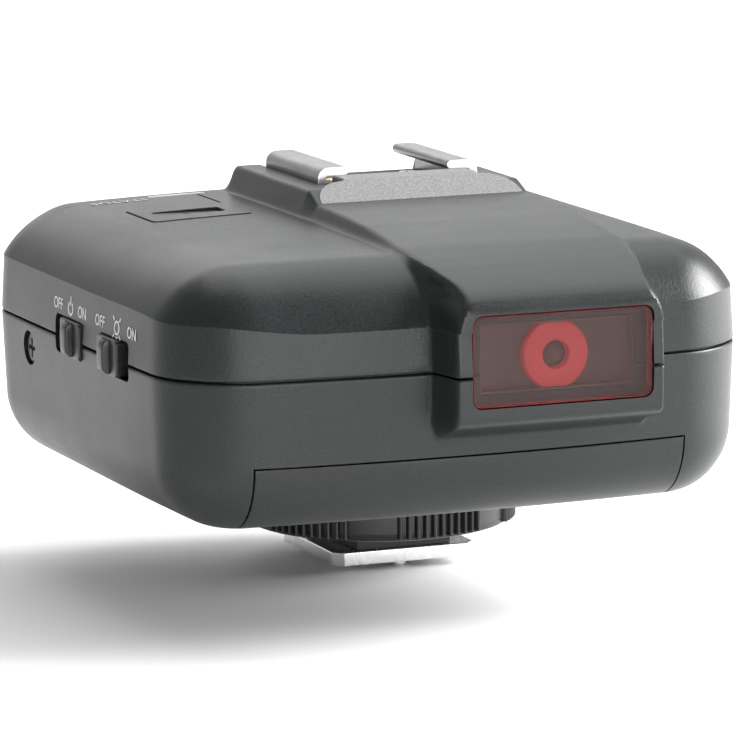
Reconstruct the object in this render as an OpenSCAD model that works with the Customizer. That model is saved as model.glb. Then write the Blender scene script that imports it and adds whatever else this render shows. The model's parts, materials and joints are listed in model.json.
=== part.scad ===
// Wireless flash trigger with a lamp window, an accessory shoe and a locking shoe foot.
// Millimetres, +Z up. The origin is the centre of the foot plate's underside; -Y is the lamp side.

/* [Body] */
// Overall width of the case, along X
body_width = 72; // [60:0.5:90]
// Overall depth of the case without its bezel, along Y
body_depth = 72; // [60:0.5:90]
// Offset of the case centre from the foot centre, along X
body_offset_x = -7.75; // [-15:0.25:0]
// Offset of the case centre from the foot centre, along Y
body_offset_y = -15; // [-20:0.25:0]
// Height of the case underside above the foot plate
bottom_z = 12.8; // [10:0.1:16]
// Height of the parting line between the two case halves
parting_z = 30.75; // [28:0.05:34]
// Height where the walls meet the crown
crease_z = 36.5; // [34:0.1:40]
// Height of the flat shoulder
shoulder_z = 42.8; // [40:0.1:46]
// Plan corner radius
corner_r = 11.5; // [8:0.5:14]
// Rounding between the walls and the underside
bottom_r = 7; // [4:0.5:9]
// Wall thickness of the case
wall = 1.8; // [1.5:0.1:2.4]
// Gap left at seams between case parts
seam = 0.25; // [0.1:0.05:0.4]

/* [Ridge and bezel] */
// Half width of the ridge at its top
ridge_half = 13.25; // [11:0.25:15]
// Height of the ridge top where it meets the shoe bevel
ridge_z = 45.4; // [44:0.1:47]
// Radius of the ridge's long convex arc
ridge_arc_r = 150; // [100:5:200]
// Front face of the lamp bezel
bezel_y = -56.6; // [-60:0.1:-54]
// Half width of the bezel's front face
bezel_half = 12.8; // [11:0.1:15]
// Half width of the lamp window
window_half = 11.1; // [9:0.1:12]
// Bottom of the lamp window
window_z0 = 27.2; // [26:0.1:30]
// Top of the lamp window
window_z1 = 37.7; // [35:0.1:38.4]

/* [Shoe] */
// Floor of the shoe channel
channel_z = 45.4; // [44:0.1:47]
// Half width of the channel between the rail walls
channel_half = 9.4; // [9.3:0.05:9.5]
// Half width of the opening between the lips
lip_half = 6.4; // [6.2:0.05:6.8]
// Clear height under the lips
channel_h = 2.1; // [2.05:0.05:2.4]
// Lip thickness
lip_t = 1.2; // [1:0.1:1.5]
// Front and rear ends of the rails
rail_y0 = -7.3; // [-9:0.1:-6]
rail_y1 = 10.3; // [9:0.1:12]

/* [Foot] */
// Foot plate width
foot_w = 18.6; // [18.5:0.05:18.6]
// Foot plate length
foot_l = 18.4; // [17:0.1:19]
// Foot plate thickness
foot_t = 1.7; // [1.6:0.05:2]
// Radius of the lock wheel
wheel_r = 17; // [15:0.25:19]
// Underside and top of the lock wheel
wheel_z0 = 3.9; // [3.6:0.1:4.5]
wheel_z1 = 10.6; // [9:0.1:12]
// Radius of the column the wheel turns on
column_r = 8.2; // [7.5:0.1:9]
// Distance of the lock pin from the foot centre
pin_y = -6.6; // [-7:0.1:-6]

/* [Switches and keys] */
// Centre of the power switch slot, along Y
power_y = -12.1; // [-16:0.1:-8]
// Centre of the lamp switch slot, along Y
lamp_y = -27.6; // [-32:0.1:-24]
// Centre height of both slots
slot_z = 31.1; // [30:0.1:32]
// Slot length and height
slot_l = 9.6; // [8:0.1:11]
slot_h = 4.6; // [4:0.1:5.5]
// Switch travel
slot_travel = 2.4; // [1.5:0.1:3]
// Test button: left, right, front and rear edges
test_x0 = -31.2; // [-34:0.1:-28]
test_x1 = -18.9; // [-22:0.1:-16]
test_y0 = -7; // [-10:0.1:-5]
test_y1 = 3; // [1:0.1:5]
// Key column and dial on the rear panel
key_x = -15; // [-17:0.1:-13]
dial_x = -27; // [-29:0.1:-25]
dial_z = 26.2; // [24:0.1:28]
dial_r = 8.2; // [7:0.1:9]

/* [Hidden] */
$fn = 64;
e = 0.01;
xl = body_offset_x - body_width / 2;
xr = body_offset_x + body_width / 2;
yf = body_offset_y - body_depth / 2;
yr = body_offset_y + body_depth / 2;
cx0 = xl + corner_r;
cx1 = xr - corner_r;
cy0 = yf + corner_r;
cy1 = yr - corner_r;
crown_h = shoulder_z - crease_z;
crown_r = (corner_r * corner_r + crown_h * crown_h) / (2 * crown_h);
crown_cz = shoulder_z - crown_r;
part_hi = parting_z + seam / 2;
part_lo = parting_z - seam / 2;
arc_cy = -17.38;
arc_cz = ridge_z + 0.01 - ridge_arc_r;
cell_r = 7.2;
cell_l = 50.5;
cell_x0 = body_offset_x - 24.6;
cell_z = 22.15;
cell_y = [-40.3, -25.6];
door_x0 = -34.5;
door_x1 = 18.4;
door_y1 = -18.6;
door_z1 = 20.7;
post = [[-38, -44.5], [22.5, -44.5], [-38, 14.5], [22.5, 14.5]];
// the rear posts take screws; the front ones only meet
screw_post = [post[2], post[3]];
board_z = 32.2;
board_t = 1.2;
board_post = [[-31, -40], [-31, 9.2], [17.5, -41.2]];
pane_x0 = -36.5;
pane_x1 = 18.5;
pane_z0 = 16.9;
pane_z1 = 35.5;
lcd = [-9.6, 15.6, 19.1, 33.3];
key_z = [20.6, 26.2, 31.8];
side_screw = [2.8, 27.6];
jack = [-2, 23];
usb = [-12, 23];
lamp_c = (window_z0 + window_z1) / 2;

// ---------- helpers ----------

// A closed form that follows the case outline: the 2D child is a (radius, height) profile
module sweep(z0, z1) {
    translate([cx0, cy0, z0]) cube([cx1 - cx0, cy1 - cy0, z1 - z0]);
    for (c = [[cx1, cy1, 0, cy1 - cy0], [cx0, cy1, 90, cx1 - cx0], [cx0, cy0, 180, cy1 - cy0], [cx1, cy0, 270, cx1 - cx0]])
        translate([c[0], c[1], 0]) rotate([0, 0, c[2]]) {
            rotate_extrude(angle = 90) children();
            rotate([90, 0, 0]) linear_extrude(c[3]) children();
        }
}

module crown2d(t) {
    intersection() {
        translate([0, crown_cz]) circle(r = crown_r - t, $fn = 128);
        translate([0, crease_z]) square([corner_r - t, 12]);
    }
}

module floor2d(t, top) {
    translate([0, bottom_z + t]) square([corner_r - bottom_r, top - bottom_z - t]);
    translate([0, bottom_z + bottom_r]) square([corner_r - t, top - bottom_z - bottom_r]);
    intersection() {
        translate([corner_r - bottom_r, bottom_z + bottom_r]) circle(r = bottom_r - t, $fn = 96);
        translate([0, bottom_z]) square([corner_r, bottom_r]);
    }
}

module rrect(x0, x1, y0, y1, r) {
    translate([x0 + r, y0]) square([x1 - x0 - 2 * r, y1 - y0]);
    translate([x0, y0 + r]) square([x1 - x0, y1 - y0 - 2 * r]);
    for (x = [x0 + r, x1 - r], y = [y0 + r, y1 - r]) translate([x, y]) circle(r = r);
}

// Extrude a child drawn in (X, Z) from Y = a to Y = b
module along_y(a, b) { translate([0, b, 0]) rotate([90, 0, 0]) linear_extrude(b - a) children(); }
// Extrude a child drawn in (Y, Z) from X = a to X = b
module along_x(a, b) { translate([a, 0, 0]) rotate([90, 0, 90]) linear_extrude(b - a) children(); }
module box(a, b) { translate(a) cube(b - a); }
module rod_x(x0, x1, y, z, r) { translate([x0, y, z]) rotate([0, 90, 0]) cylinder(r = r, h = x1 - x0); }
module rod_y(y0, y1, x, z, r) { translate([x, y1, z]) rotate([90, 0, 0]) cylinder(r = r, h = y1 - y0); }
module rod_z(z0, z1, x, y, r) { translate([x, y, z0]) cylinder(r = r, h = z1 - z0); }

// Ridge and shoe platform
module ridge(low) {
    intersection() {
        along_x(-17, 17) {
            intersection() {
                translate([arc_cy, arc_cz]) circle(r = ridge_arc_r, $fn = 360);
                translate([bezel_y + 6.5, low]) square([-15.4 - bezel_y - 6.5, 12]);
            }
            polygon([[-15.4 - e, low], [-15.4 - e, ridge_z], [-12.6, 46.5], [13, 46.5], [13, low]]);
        }
        along_y(-60, 14) polygon([[-15.6, 36], [-15.2, 39], [-14.4, 41], [-13.6, 42.8], [-13.1, 44.6], [-12.6, 46.6],
            [12.6, 46.6], [13.1, 44.6], [13.6, 42.8], [14.4, 41], [15.2, 39], [15.6, 36]]);
        linear_extrude(60) {
            translate([-18, -60]) square([36, 69]);
            rrect(-16.4, 16.4, 0, 13, 4);
        }
    }
}

module front_stop() {
    intersection() {
        along_x(-14, 14) polygon([[-15.4, ridge_z - 0.6], [-15.4, ridge_z], [-11, 47.7], [rail_y0 - 0.15, 47.7], [rail_y0 - 0.15, ridge_z - 0.6]]);
        along_y(-16, -7) polygon([[-13, 44.7], [-13, 45.4], [-8.75, 47.75], [8.75, 47.75], [13, 45.4], [13, 44.7]]);
    }
}

// Bezel block round the lamp window
module bezel() {
    intersection() {
        along_y(bezel_y, -49.5) rrect(-15.5, 15.5, 22.4, 41.8, 2.8);
        linear_extrude(60) polygon([[-bezel_half, bezel_y], [bezel_half, bezel_y], [15.5, -50.8], [15.5, -49], [-15.5, -49], [-15.5, -50.8]]);
        along_x(-17, 17) polygon([[bezel_y, 25.6], [bezel_y, 38.9], [-55.6, 39.9], [-53.6, 41], [-50.1, 41.8], [-49, 41.8], [-49, 22.4], [-50.9, 22.4]]);
    }
}

module bezel_cuts() {
    along_y(bezel_y - 1, bezel_y + 1.75) rrect(-window_half - 0.1, window_half + 0.1, window_z0 - 0.1, window_z1 + 0.1, 1.2);
    box([-9.7, bezel_y + 1, 28.4], [9.7, -47, 36.6]);
}

// Openings that cross the parting line
module shared_cuts() {
    bezel_cuts();
    for (y = [power_y, lamp_y]) along_x(xl - 1, xl + wall + 0.2) rrect(y - slot_l / 2, y + slot_l / 2, slot_z - slot_h / 2, slot_z + slot_h / 2, 0.8);
    along_y(yr - wall - 0.3, yr + 1) rrect(pane_x0, pane_x1, pane_z0, pane_z1, 2);
}

// ---------- case ----------

module upper_outer() {
    sweep(part_hi, shoulder_z) {
        translate([0, part_hi]) square([corner_r, crease_z - part_hi]);
        crown2d(0);
    }
}

module upper_case() color([0.16, 0.17, 0.17]) difference() {
    union() {
        difference() {
            union() {
                upper_outer();
                ridge(36.4);
                front_stop();
                intersection() { bezel(); box([-20, -60, part_hi], [20, -40, 60]); }
            }
            sweep(part_hi - 1, shoulder_z - wall) {
                translate([0, part_hi - 1]) square([corner_r - wall, crease_z - part_hi + 1]);
                translate([0, part_hi - 1]) square([corner_r - wall / 2, 2.3]);
                crown2d(wall);
            }
        }
        intersection() {
            union() {
                for (p = post) rod_z(part_hi, 42, p[0], p[1], 2);
                for (p = board_post) rod_z(board_z + board_t + 0.1, 42, p[0], p[1], 1.9);
            }
            upper_outer();
        }
    }
    shared_cuts();
    // hollow of the ridge and of the shoe platform
    intersection() {
        along_x(-11.4, 11.4) intersection() {
            translate([arc_cy, arc_cz]) circle(r = ridge_arc_r - 1.9, $fn = 360);
            translate([-49, 39]) square([39.5, 8]);
        }
    }
    box([-11.4, -9.6, 39], [11.4, 10.5, 42.2]);
    // shoe seat and its screw holes
    box([-channel_half - 1.15, rail_y0 - 0.1, channel_z - 1.1], [channel_half + 1.15, 14, 50]);
    for (x = [-7.4, 7.4], y = [-4.4, 7.4]) rod_z(40, 46, x, y, 0.85);
    for (x = [-3.6, 3.6], y = [-3.2, 3.2]) rod_z(40, 46, x, y + 1.5, 0.9);
    rod_z(40, 46, 0, 1.5, 1.2);
    // button, status light, screws
    box([test_x0 - 0.2, test_y0 - 0.2, 38], [test_x1 + 0.2, test_y1 + 0.2, 46]);
    box([-25.05, 12.1, 36], [-17.35, 13.5, 46]);
    for (p = screw_post) rod_z(part_hi - 1, 37, p[0], p[1], 1);
    for (p = board_post) rod_z(board_z, 38.5, p[0], p[1], 0.85);
}

module door_region(g) {
    box([door_x0 - g, -60, 10], [door_x1 + g, door_y1 + g, door_z1 + g]);
}

module door_groove(g) {
    for (s = [0, 1]) {
        x = s == 0 ? door_x0 - 1 - g : door_x1 - e;
        box([x, -60, 14.05 - g], [x + 1 + g + e, door_y1 + g, 14.85 + g]);
    }
}

module lower_shell_outer() { sweep(bottom_z, part_lo) floor2d(0, part_lo); }

module lower_case() color([0.15, 0.16, 0.16]) difference() {
    union() {
        difference() {
            union() {
                lower_shell_outer();
                intersection() { bezel(); box([-20, -60, 20], [20, -40, part_lo]); }
                // tongue that locates the upper half
                sweep(part_lo - 1, part_lo + 1) translate([0, part_lo - 1]) square([corner_r - wall / 2 - 0.1, 2.1]);
            }
            sweep(bottom_z + wall, part_lo + 5) floor2d(wall, part_lo + 5);
        }
        intersection() {
            for (p = post) rod_z(bottom_z, part_lo - 0.1, p[0], p[1], 2.3);
            lower_shell_outer();
        }
        for (x = [door_x0 - 2.4, door_x1 + seam]) box([x, -43, bottom_z + 1], [x + 2.4 - seam, door_y1 + 2, 16.2]);
        box([door_x0 - 2.4, door_y1 + seam, bottom_z + 1], [door_x1 + 2.4, door_y1 + 1.4, 16.2]);
        rod_x(xl + 1, xl + 8, side_screw[0], side_screw[1], 2.6);
        rod_z(bottom_z + 1, 17.4, 0, 0, 10.4);
    }
    door_region(seam);
    door_groove(seam);
    shared_cuts();
    for (p = screw_post) { rod_z(bottom_z - 1, part_lo + 1, p[0], p[1], 1); rod_z(bottom_z - 1, bottom_z + 3, p[0], p[1], 2.1); }
    rod_x(xl - 1, xl + 7, side_screw[0], side_screw[1], 1);
    rod_x(xl - 1, xl + 1.1, side_screw[0], side_screw[1], 2.1);
    rod_z(bottom_z - 1, 20, 0, 0, column_r + 0.1);
    rod_x(xr - 3, xr + 1, jack[0], jack[1], 2.6);
    box([xr - 3, usb[0] - 4.1, usb[1] - 1.75], [xr + 1, usb[0] + 4.1, usb[1] + 1.75]);
}

module rear_panel() color([0.1, 0.1, 0.11]) difference() {
    along_y(yr - wall - 0.1, yr + 0.4) rrect(pane_x0 + seam, pane_x1 - seam, pane_z0 + seam, pane_z1 - seam, 1.8);
    along_y(yr - 0.5, yr + 2) rrect(lcd[0], lcd[1], lcd[2], lcd[3], 1);
    box([lcd[0] + 1.2, yr - 4, lcd[2] + 1.2], [lcd[1] - 1.2, yr + 1, lcd[3] - 1.2]);
    for (z = key_z) rod_y(yr - 4, yr + 1, key_x, z, 2.2);
    rod_y(yr - 4, yr + 1, dial_x, dial_z, 3.4);
}

module battery_door() color([0.15, 0.16, 0.16]) {
    intersection() {
        difference() {
            lower_shell_outer();
            sweep(bottom_z + wall, part_lo + 5) floor2d(wall, part_lo + 5);
            for (i = [0:5]) box([-16, -30 + i * 1.6, bottom_z - 1], [0.5, -29.3 + i * 1.6, bottom_z + 0.35]);
        }
        door_region(0);
    }
    for (s = [0, 1]) {
        x = s == 0 ? door_x0 : door_x1 - 2;
        box([x, -43.6, bottom_z + 0.5], [x + 2, door_y1, 14.85]);
    }
    intersection() {
        for (x = [door_x0 - 1, door_x1 - e]) box([x, -47.2, 14.05], [x + 1 + e, door_y1, 14.85]);
        lower_shell_outer();
    }
}

module battery_tray() color([0.12, 0.12, 0.12]) difference() {
    box([-36.6, -47.9, 21.2], [20.5, -17.1, 30.5]);
    box([-35.3, -49, 13], [19.2, -18.1, 29.5]);
    for (p = [post[0], post[1]]) rod_z(20, 31, p[0], p[1], 2.6);
}

// ---------- lamp ----------

module lamp_window() color([0.37, 0.27, 0.26, 0.75]) along_y(bezel_y + 0.2, bezel_y + 1.7)
    rrect(-window_half, window_half, window_z0, window_z1, 1.1);

module lamp_ring() color([0.7, 0.12, 0.12]) difference() {
    rod_y(-54.3, -53.2, 0, lamp_c, 4.05);
    rod_y(-55, -53, 0, lamp_c, 1.55);
}

module lamp_holder() color([0.2, 0.05, 0.05]) difference() {
    box([-9.4, -53.1, 28.7], [9.4, -51.7, 36.3]);
    rod_y(-54, -51, 0, lamp_c, 1.55);
}

module lamp_led() color([0.75, 0.1, 0.1]) {
    rod_y(-54, -51.7, 0, lamp_c, 1.5);
    rod_y(-51.6, -50.8, 0, lamp_c, 1.9);
    rod_y(-51.8, -51.5, 0, lamp_c, 1.5);
    for (x = [-0.7, 0.7]) rod_y(-50.9, -48.6, x, lamp_c, 0.25);
}

module status_lamp() color([0.85, 0.9, 0.88]) intersection() {
    box([-24.95, 12.2, 36.2], [-17.45, 13.4, 46]);
    sweep(part_hi, shoulder_z) crown2d(0);
}

// ---------- accessory shoe ----------

module shoe_rails() color([0.72, 0.72, 0.7]) difference() {
    along_y(rail_y0, rail_y1) difference() {
        translate([-channel_half - 1, channel_z - 1]) square([2 * channel_half + 2, 1 + channel_h + lip_t]);
        translate([-channel_half, channel_z - 0.4]) square([2 * channel_half, channel_h + 0.4]);
        translate([-lip_half, channel_z]) square([2 * lip_half, 10]);
    }
    for (x = [-7.4, 7.4], y = [-4.4, 7.4]) rod_z(43, 46, x, y, 0.85);
    for (x = [-3.6, 3.6], y = [-3.2, 3.2]) rod_z(43, 46, x, y + 1.5, 0.95);
    rod_z(43, 46, 0, 1.5, 1.3);
}

module shoe_base() color([0.08, 0.08, 0.08]) difference() {
    box([-channel_half + 0.1, rail_y0, channel_z - 0.38], [channel_half - 0.1, rail_y1, channel_z]);
    for (x = [-7.4, 7.4], y = [-4.4, 7.4]) rod_z(43, 46, x, y, 1.55);
    for (x = [-3.6, 3.6], y = [-3.2, 3.2]) rod_z(43, 46, x, y + 1.5, 1.05);
    rod_z(43, 46, 0, 1.5, 1.85);
}

module shoe_contacts() color([0.85, 0.7, 0.35]) {
    for (x = [-3.6, 3.6], y = [-3.2, 3.2]) {
        rod_z(channel_z - 0.38, channel_z + 0.08, x, y + 1.5, 1);
        rod_z(40.2, channel_z - 0.37, x, y + 1.5, 0.8);
    }
    rod_z(channel_z - 0.38, channel_z + 0.1, 0, 1.5, 1.8);
    rod_z(40.2, channel_z - 0.37, 0, 1.5, 1.1);
}

module cross_screw(r_head, r_shank, len) {
    difference() {
        union() {
            translate([0, 0, -0.45]) cylinder(r = r_head, h = 0.45);
            translate([0, 0, -len]) cylinder(r = r_shank, h = len - 0.4);
        }
        for (a = [0, 90]) rotate([0, 0, a]) translate([-r_head * 0.6, -r_head * 0.13, -0.3]) cube([r_head * 1.2, r_head * 0.26, 1]);
    }
}

module shoe_screws() color([0.75, 0.75, 0.75]) for (x = [-7.4, 7.4], y = [-4.4, 7.4])
    translate([x, y, channel_z + 0.08]) cross_screw(1.45, 0.8, 3.6);

// ---------- foot ----------

module foot_plate() color([0.85, 0.85, 0.85]) difference() {
    intersection() {
        box([-foot_w / 2, -foot_l / 2, 0], [foot_w / 2, foot_l / 2, foot_t]);
        linear_extrude(10) rotate([0, 0, 45]) translate([-12.6, -12.6]) square(25.2);
    }
    box([-5.6, -4.6, -1], [5.6, 4.6, 3]);
    rod_z(-1, 3, 0, pin_y, 1.1);
    for (x = [-3.2, 3.2], y = [-6.4, 6.4]) rod_z(-1, 3, x, y, 0.95);
    for (x = [-3.2, 3.2], y = [-6.4, 6.4]) rod_z(-1, 0.65, x, y, 1.5);
}

// lower half of the foot's insulator, with the contact bores
module foot_block() color([0.1, 0.1, 0.1]) difference() {
    union() {
        box([-5.5, -4.5, 0], [5.5, 4.5, foot_t + 0.2]);
        box([-6.1, -8.4, foot_t + 0.05], [6.1, 8.4, wheel_z0 - 0.1]);
        rod_z(wheel_z0 - 0.2, 6, 0, 0, column_r);
    }
    for (p = [[0, 0], [-3.6, -2.6], [3.6, -2.6], [-3.6, 2.6], [3.6, 2.6]]) {
        rod_z(-1, 7, p[0], p[1], 0.75);
        rod_z(3.2, 7, p[0], p[1], 1.1);
    }
    rod_z(-1, 15, 0, pin_y, 1.05);
    for (x = [-3.2, 3.2], y = [-6.4, 6.4]) rod_z(-1, 8, x, y, 0.85);
}

// column the wheel turns on, with the flange that carries the case
module foot_column() color([0.1, 0.1, 0.1]) difference() {
    union() {
        rod_z(6.02, 17.6, 0, 0, column_r);
        rod_z(wheel_z1 + 0.1, bottom_z - 0.1, 0, 0, 11);
        rod_z(17.5, 19, 0, 0, 10);
    }
    rod_z(5, 25, 0, 0, 5);
    for (x = [-3.6, 3.6], y = [-2.6, 2.6]) rod_z(5, 8.2, x, y, 0.8);
    rod_z(5, 15, 0, pin_y, 1.05);
    for (x = [-3.2, 3.2], y = [-6.4, 6.4]) rod_z(5, 8, x, y, 0.85);
}

module foot_pins() color([0.85, 0.7, 0.35]) {
    for (p = [[0, 0], [-3.6, -2.6], [3.6, -2.6], [-3.6, 2.6], [3.6, 2.6]]) {
        rod_z(-0.8, 6.2, p[0], p[1], 0.7);
        rod_z(3.3, 4.3, p[0], p[1], 1.05);
    }
    // carrier that joins the sprung contacts
    difference() {
        rod_z(6.2 - e, 7, 0, 0, 4.85);
        rod_z(6, 8, 0, 0, 1.8);
    }
    box([-0.6, -4, 6.2 - e], [0.6, 4, 7]);
}

module lock_wheel() color([0.1, 0.1, 0.1]) difference() {
    union() {
        rod_z(wheel_z0, wheel_z1, 0, 0, wheel_r - 0.8);
        translate([0, 0, wheel_z0 + 0.5]) linear_extrude(wheel_z1 - wheel_z0 - 1)
            polygon([for (i = [0:359]) let (a = i, g = (i + 164) % 60, rib = g < 41 && (i + 164) % 3 == 0)
                [(rib || (g < 41 && (i + 164) % 3 == 1) ? wheel_r : g < 41 ? wheel_r - 0.7 : wheel_r - 0.35) * cos(a),
                 (rib || (g < 41 && (i + 164) % 3 == 1) ? wheel_r : g < 41 ? wheel_r - 0.7 : wheel_r - 0.35) * sin(a)]]);
    }
    rod_z(wheel_z0 - 1, wheel_z1 + 1, 0, 0, column_r + 0.06);
    difference() {
        rod_z(wheel_z1 - 2.4, wheel_z1 + 1, 0, 0, wheel_r - 3);
        rod_z(wheel_z1 - 3, wheel_z1 + 2, 0, 0, column_r + 2.2);
    }
}

module lock_pin() color([0.8, 0.8, 0.8]) {
    rod_z(-0.6, 12.6, 0, pin_y, 1);
    translate([0, pin_y, -1]) cylinder(r1 = 0.6, r2 = 1, h = 0.4 + e);
}

module foot_screws() color([0.75, 0.75, 0.75]) for (x = [-3.2, 3.2], y = [-6.4, 6.4])
    translate([x, y, 0.12]) mirror([0, 0, 1]) cross_screw(1.4, 0.8, 6.2);

// ---------- switches and keys ----------

module switch_knob(y) {
    along_x(xl + wall + 0.06, xl + wall + 0.7) rrect(y - 6.4, y + 6.4, slot_z - 3.1, slot_z + 3.1, 0.6);
    along_x(xl - 0.5, xl + wall + 0.1) rrect(y - 3.4, y + 3.4, slot_z - slot_h / 2 + 0.12, slot_z + slot_h / 2 - 0.12, 0.6);
    along_x(xl - 1.6, xl) rrect(y - 0.9, y + 0.9, slot_z - slot_h / 2 + 0.3, slot_z + slot_h / 2 - 0.3, 0.5);
    box([xl + wall + 0.6, y - 1, slot_z - 1], [xl + wall + 2.2, y + 1, slot_z + 1]);
}

module switch_body(y) {
    difference() {
        box([xl + wall + 1, y - 5.5, slot_z - 3], [xl + wall + 5, y + 5.5, slot_z + 3]);
        box([xl + wall, y - 3.9, slot_z - 1.15], [xl + wall + 2.5, y + 3.9, slot_z + 1.15]);
    }
    for (i = [-1:1]) box([xl + wall + 4.9, y + i * 2.5 - 0.3, slot_z - 0.3], [xl + wall + 6.2, y + i * 2.5 + 0.3, slot_z + 0.3]);
}

module power_switch_knob() color([0.09, 0.09, 0.1]) switch_knob(power_y - slot_travel / 2);
module lamp_switch_knob() color([0.09, 0.09, 0.1]) switch_knob(lamp_y + slot_travel / 2);
module power_switch_body() color([0.7, 0.7, 0.7]) switch_body(power_y);
module lamp_switch_body() color([0.7, 0.7, 0.7]) switch_body(lamp_y);

module test_button() color([0.17, 0.18, 0.18]) difference() {
    union() {
        box([test_x0, test_y0, 40.6], [test_x1, test_y1, shoulder_z + 0.2]);
        box([test_x0 - 1, test_y0 - 1, 39.8], [test_x1 + 1, test_y1 + 1, 40.85]);
        rod_z(38.4, 40, (test_x0 + test_x1) / 2, (test_y0 + test_y1) / 2, 2);
    }
    box([test_x0 + 2, test_y0 + 3.4, shoulder_z - 0.2], [test_x1 - 2, test_y0 + 6.6, shoulder_z + 1]);
}

module test_switch() color([0.15, 0.15, 0.15]) {
    x = (test_x0 + test_x1) / 2;
    y = (test_y0 + test_y1) / 2;
    box([x - 3, y - 3, board_z + board_t + 0.02], [x + 3, y + 3, 36.6]);
    rod_z(36.5, 37.7, x, y, 1.6);
}

module key(z) {
    rod_y(18.3, yr + 1.6, key_x, z, 2.12);
    rod_y(18.3, 19, key_x, z, 2.6);
}

module mode_button() color([0.25, 0.25, 0.26]) key(key_z[2]);
module group_button() color([0.25, 0.25, 0.26]) key(key_z[1]);
module channel_button() color([0.25, 0.25, 0.26]) key(key_z[0]);

module key_switches() color([0.75, 0.75, 0.75]) for (z = key_z) {
    box([key_x - 2.3, 14.42, z - 2.3], [key_x + 2.3, 16.8, z + 2.3]);
    rod_y(16.7, 17.6, key_x, z, 0.9);
}

module select_dial() color([0.12, 0.12, 0.13]) difference() {
    union() {
        along_y(yr + 0.9, yr + 4.6) translate([dial_x, dial_z]) polygon([for (i = [0:95])
            [(dial_r - (i % 4 < 2 ? 0 : 0.45)) * cos(i * 3.75), (dial_r - (i % 4 < 2 ? 0 : 0.45)) * sin(i * 3.75)]]);
        rod_y(yr + 4.5, yr + 5.1, dial_x, dial_z, dial_r - 1);
    }
    rod_y(yr, yr + 4.2, dial_x, dial_z, 2.99);
    rod_y(yr + 4.8, yr + 6, dial_x, dial_z, dial_r - 2.2);
}

module dial_encoder() color([0.6, 0.6, 0.6]) {
    box([dial_x - 5.7, 14.42, dial_z - 5.7], [dial_x + 5.7, 18.8, dial_z + 5.7]);
    rod_y(18.7, yr + 0.7, dial_x, dial_z, 3.3);
    rod_y(yr + 0.6, yr + 4, dial_x, dial_z, 2.95);
}

// ---------- display, boards ----------

module display_window() color([0.3, 0.34, 0.33, 0.5]) along_y(yr - 0.48, yr + 0.35) rrect(lcd[0] + 0.1, lcd[1] - 0.1, lcd[2] + 0.1, lcd[3] - 0.1, 0.9);
module display_panel() color([0.45, 0.52, 0.46]) box([lcd[0] - 1.2, 15.6, lcd[2] - 1], [lcd[1] + 1.2, yr - wall - 0.2, lcd[3] + 1]);

module main_board() color([0.05, 0.3, 0.15]) difference() {
    box([-34.8, -46, board_z], [24, 12.4, board_z + board_t]);
    for (p = post) rod_z(30, 36, p[0], p[1], 2.8);
    for (p = [[24, -46]]) rod_z(30, 36, p[0], p[1], 4.6);
    for (p = board_post) rod_z(30, 36, p[0], p[1], 0.95);
}

module control_board() color([0.05, 0.3, 0.15]) box([-35.4, 13.2, 17.6], [18, 14.4, 34.6]);

module radio_module() color([0.75, 0.75, 0.72]) {
    box([-9, -38, board_z + board_t + 0.02], [9, -22, board_z + board_t + 0.8]);
    box([-8, -34, board_z + board_t + 0.7], [8, -23, board_z + board_t + 2.9]);
    box([14, -20, board_z + board_t + 0.02], [21, -13, board_z + board_t + 1.2]);
}

module antenna() color([0.8, 0.55, 0.25]) {
    rod_x(-18, 7.4, -36.5, 38.2, 0.4);
    rod_z(board_z + board_t + 0.85, 38.3, 7, -36.5, 0.4);
}

// ---------- power ----------

module battery_cells() color([0.2, 0.35, 0.3]) for (i = [0, 1]) {
    x = i == 0 ? cell_x0 : cell_x0 - 0.7;
    rod_x(x, x + cell_l - 1.2, cell_y[i], cell_z, cell_r);
    if (i == 0) rod_x(x + cell_l - 1.3, x + cell_l, cell_y[i], cell_z, 2.7);
    else rod_x(x - 1.2, x + 0.1, cell_y[i], cell_z, 2.7);
}

module battery_springs() color([0.8, 0.8, 0.8]) for (i = [0, 1]) {
    w = [[1.6, 0], [4.4, 0.55], [4.4, 0.95], [2.6, 1.3], [4, 1.75], [4, 2.05], [2.4, 2.3], [1.6, 2.3]];
    if (i == 0) translate([-34.85 + 0.02, cell_y[0], cell_z]) rotate([0, 90, 0]) rotate_extrude() polygon(w);
    else translate([18.75, cell_y[1], cell_z]) rotate([0, -90, 0]) rotate_extrude() polygon(w);
}

module battery_contacts() color([0.8, 0.8, 0.78]) for (y = cell_y) {
    box([-35.28, y - 5, 17], [-34.85, y + 5, 27.5]);
    box([18.78, y - 5, 17], [19.18, y + 5, 27.5]);
}

module sync_socket() color([0.1, 0.1, 0.1]) difference() {
    union() {
        rod_x(xr - 3, xr + 0.1, jack[0], jack[1], 2.5);
        box([xr - 12.4, jack[0] - 3, jack[1] - 3], [xr - wall - 0.1, jack[0] + 3, jack[1] + 3]);
    }
    rod_x(xr - 11, xr + 1, jack[0], jack[1], 1.3);
}

module usb_socket() color([0.75, 0.75, 0.75]) difference() {
    box([xr - 7.5, usb[0] - 4, usb[1] - 1.65], [xr - 0.2, usb[0] + 4, usb[1] + 1.65]);
    box([xr - 6, usb[0] - 3.6, usb[1] - 1.3], [xr + 1, usb[0] + 3.6, usb[1] + 1.3]);
}

module case_screws() color([0.5, 0.5, 0.5]) for (p = screw_post) translate([p[0], p[1], bottom_z + 2.4]) mirror([0, 0, 1]) cross_screw(2, 0.95, 20);
module side_screw_m2() color([0.35, 0.35, 0.36]) translate([xl + 0.5, side_screw[0], side_screw[1]]) rotate([0, -90, 0]) cross_screw(2, 0.95, 6);
module board_screws() color([0.5, 0.5, 0.5]) for (p = board_post) translate([p[0], p[1], board_z - 0.47]) mirror([0, 0, 1]) cross_screw(1.7, 0.8, 5.4);

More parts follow.
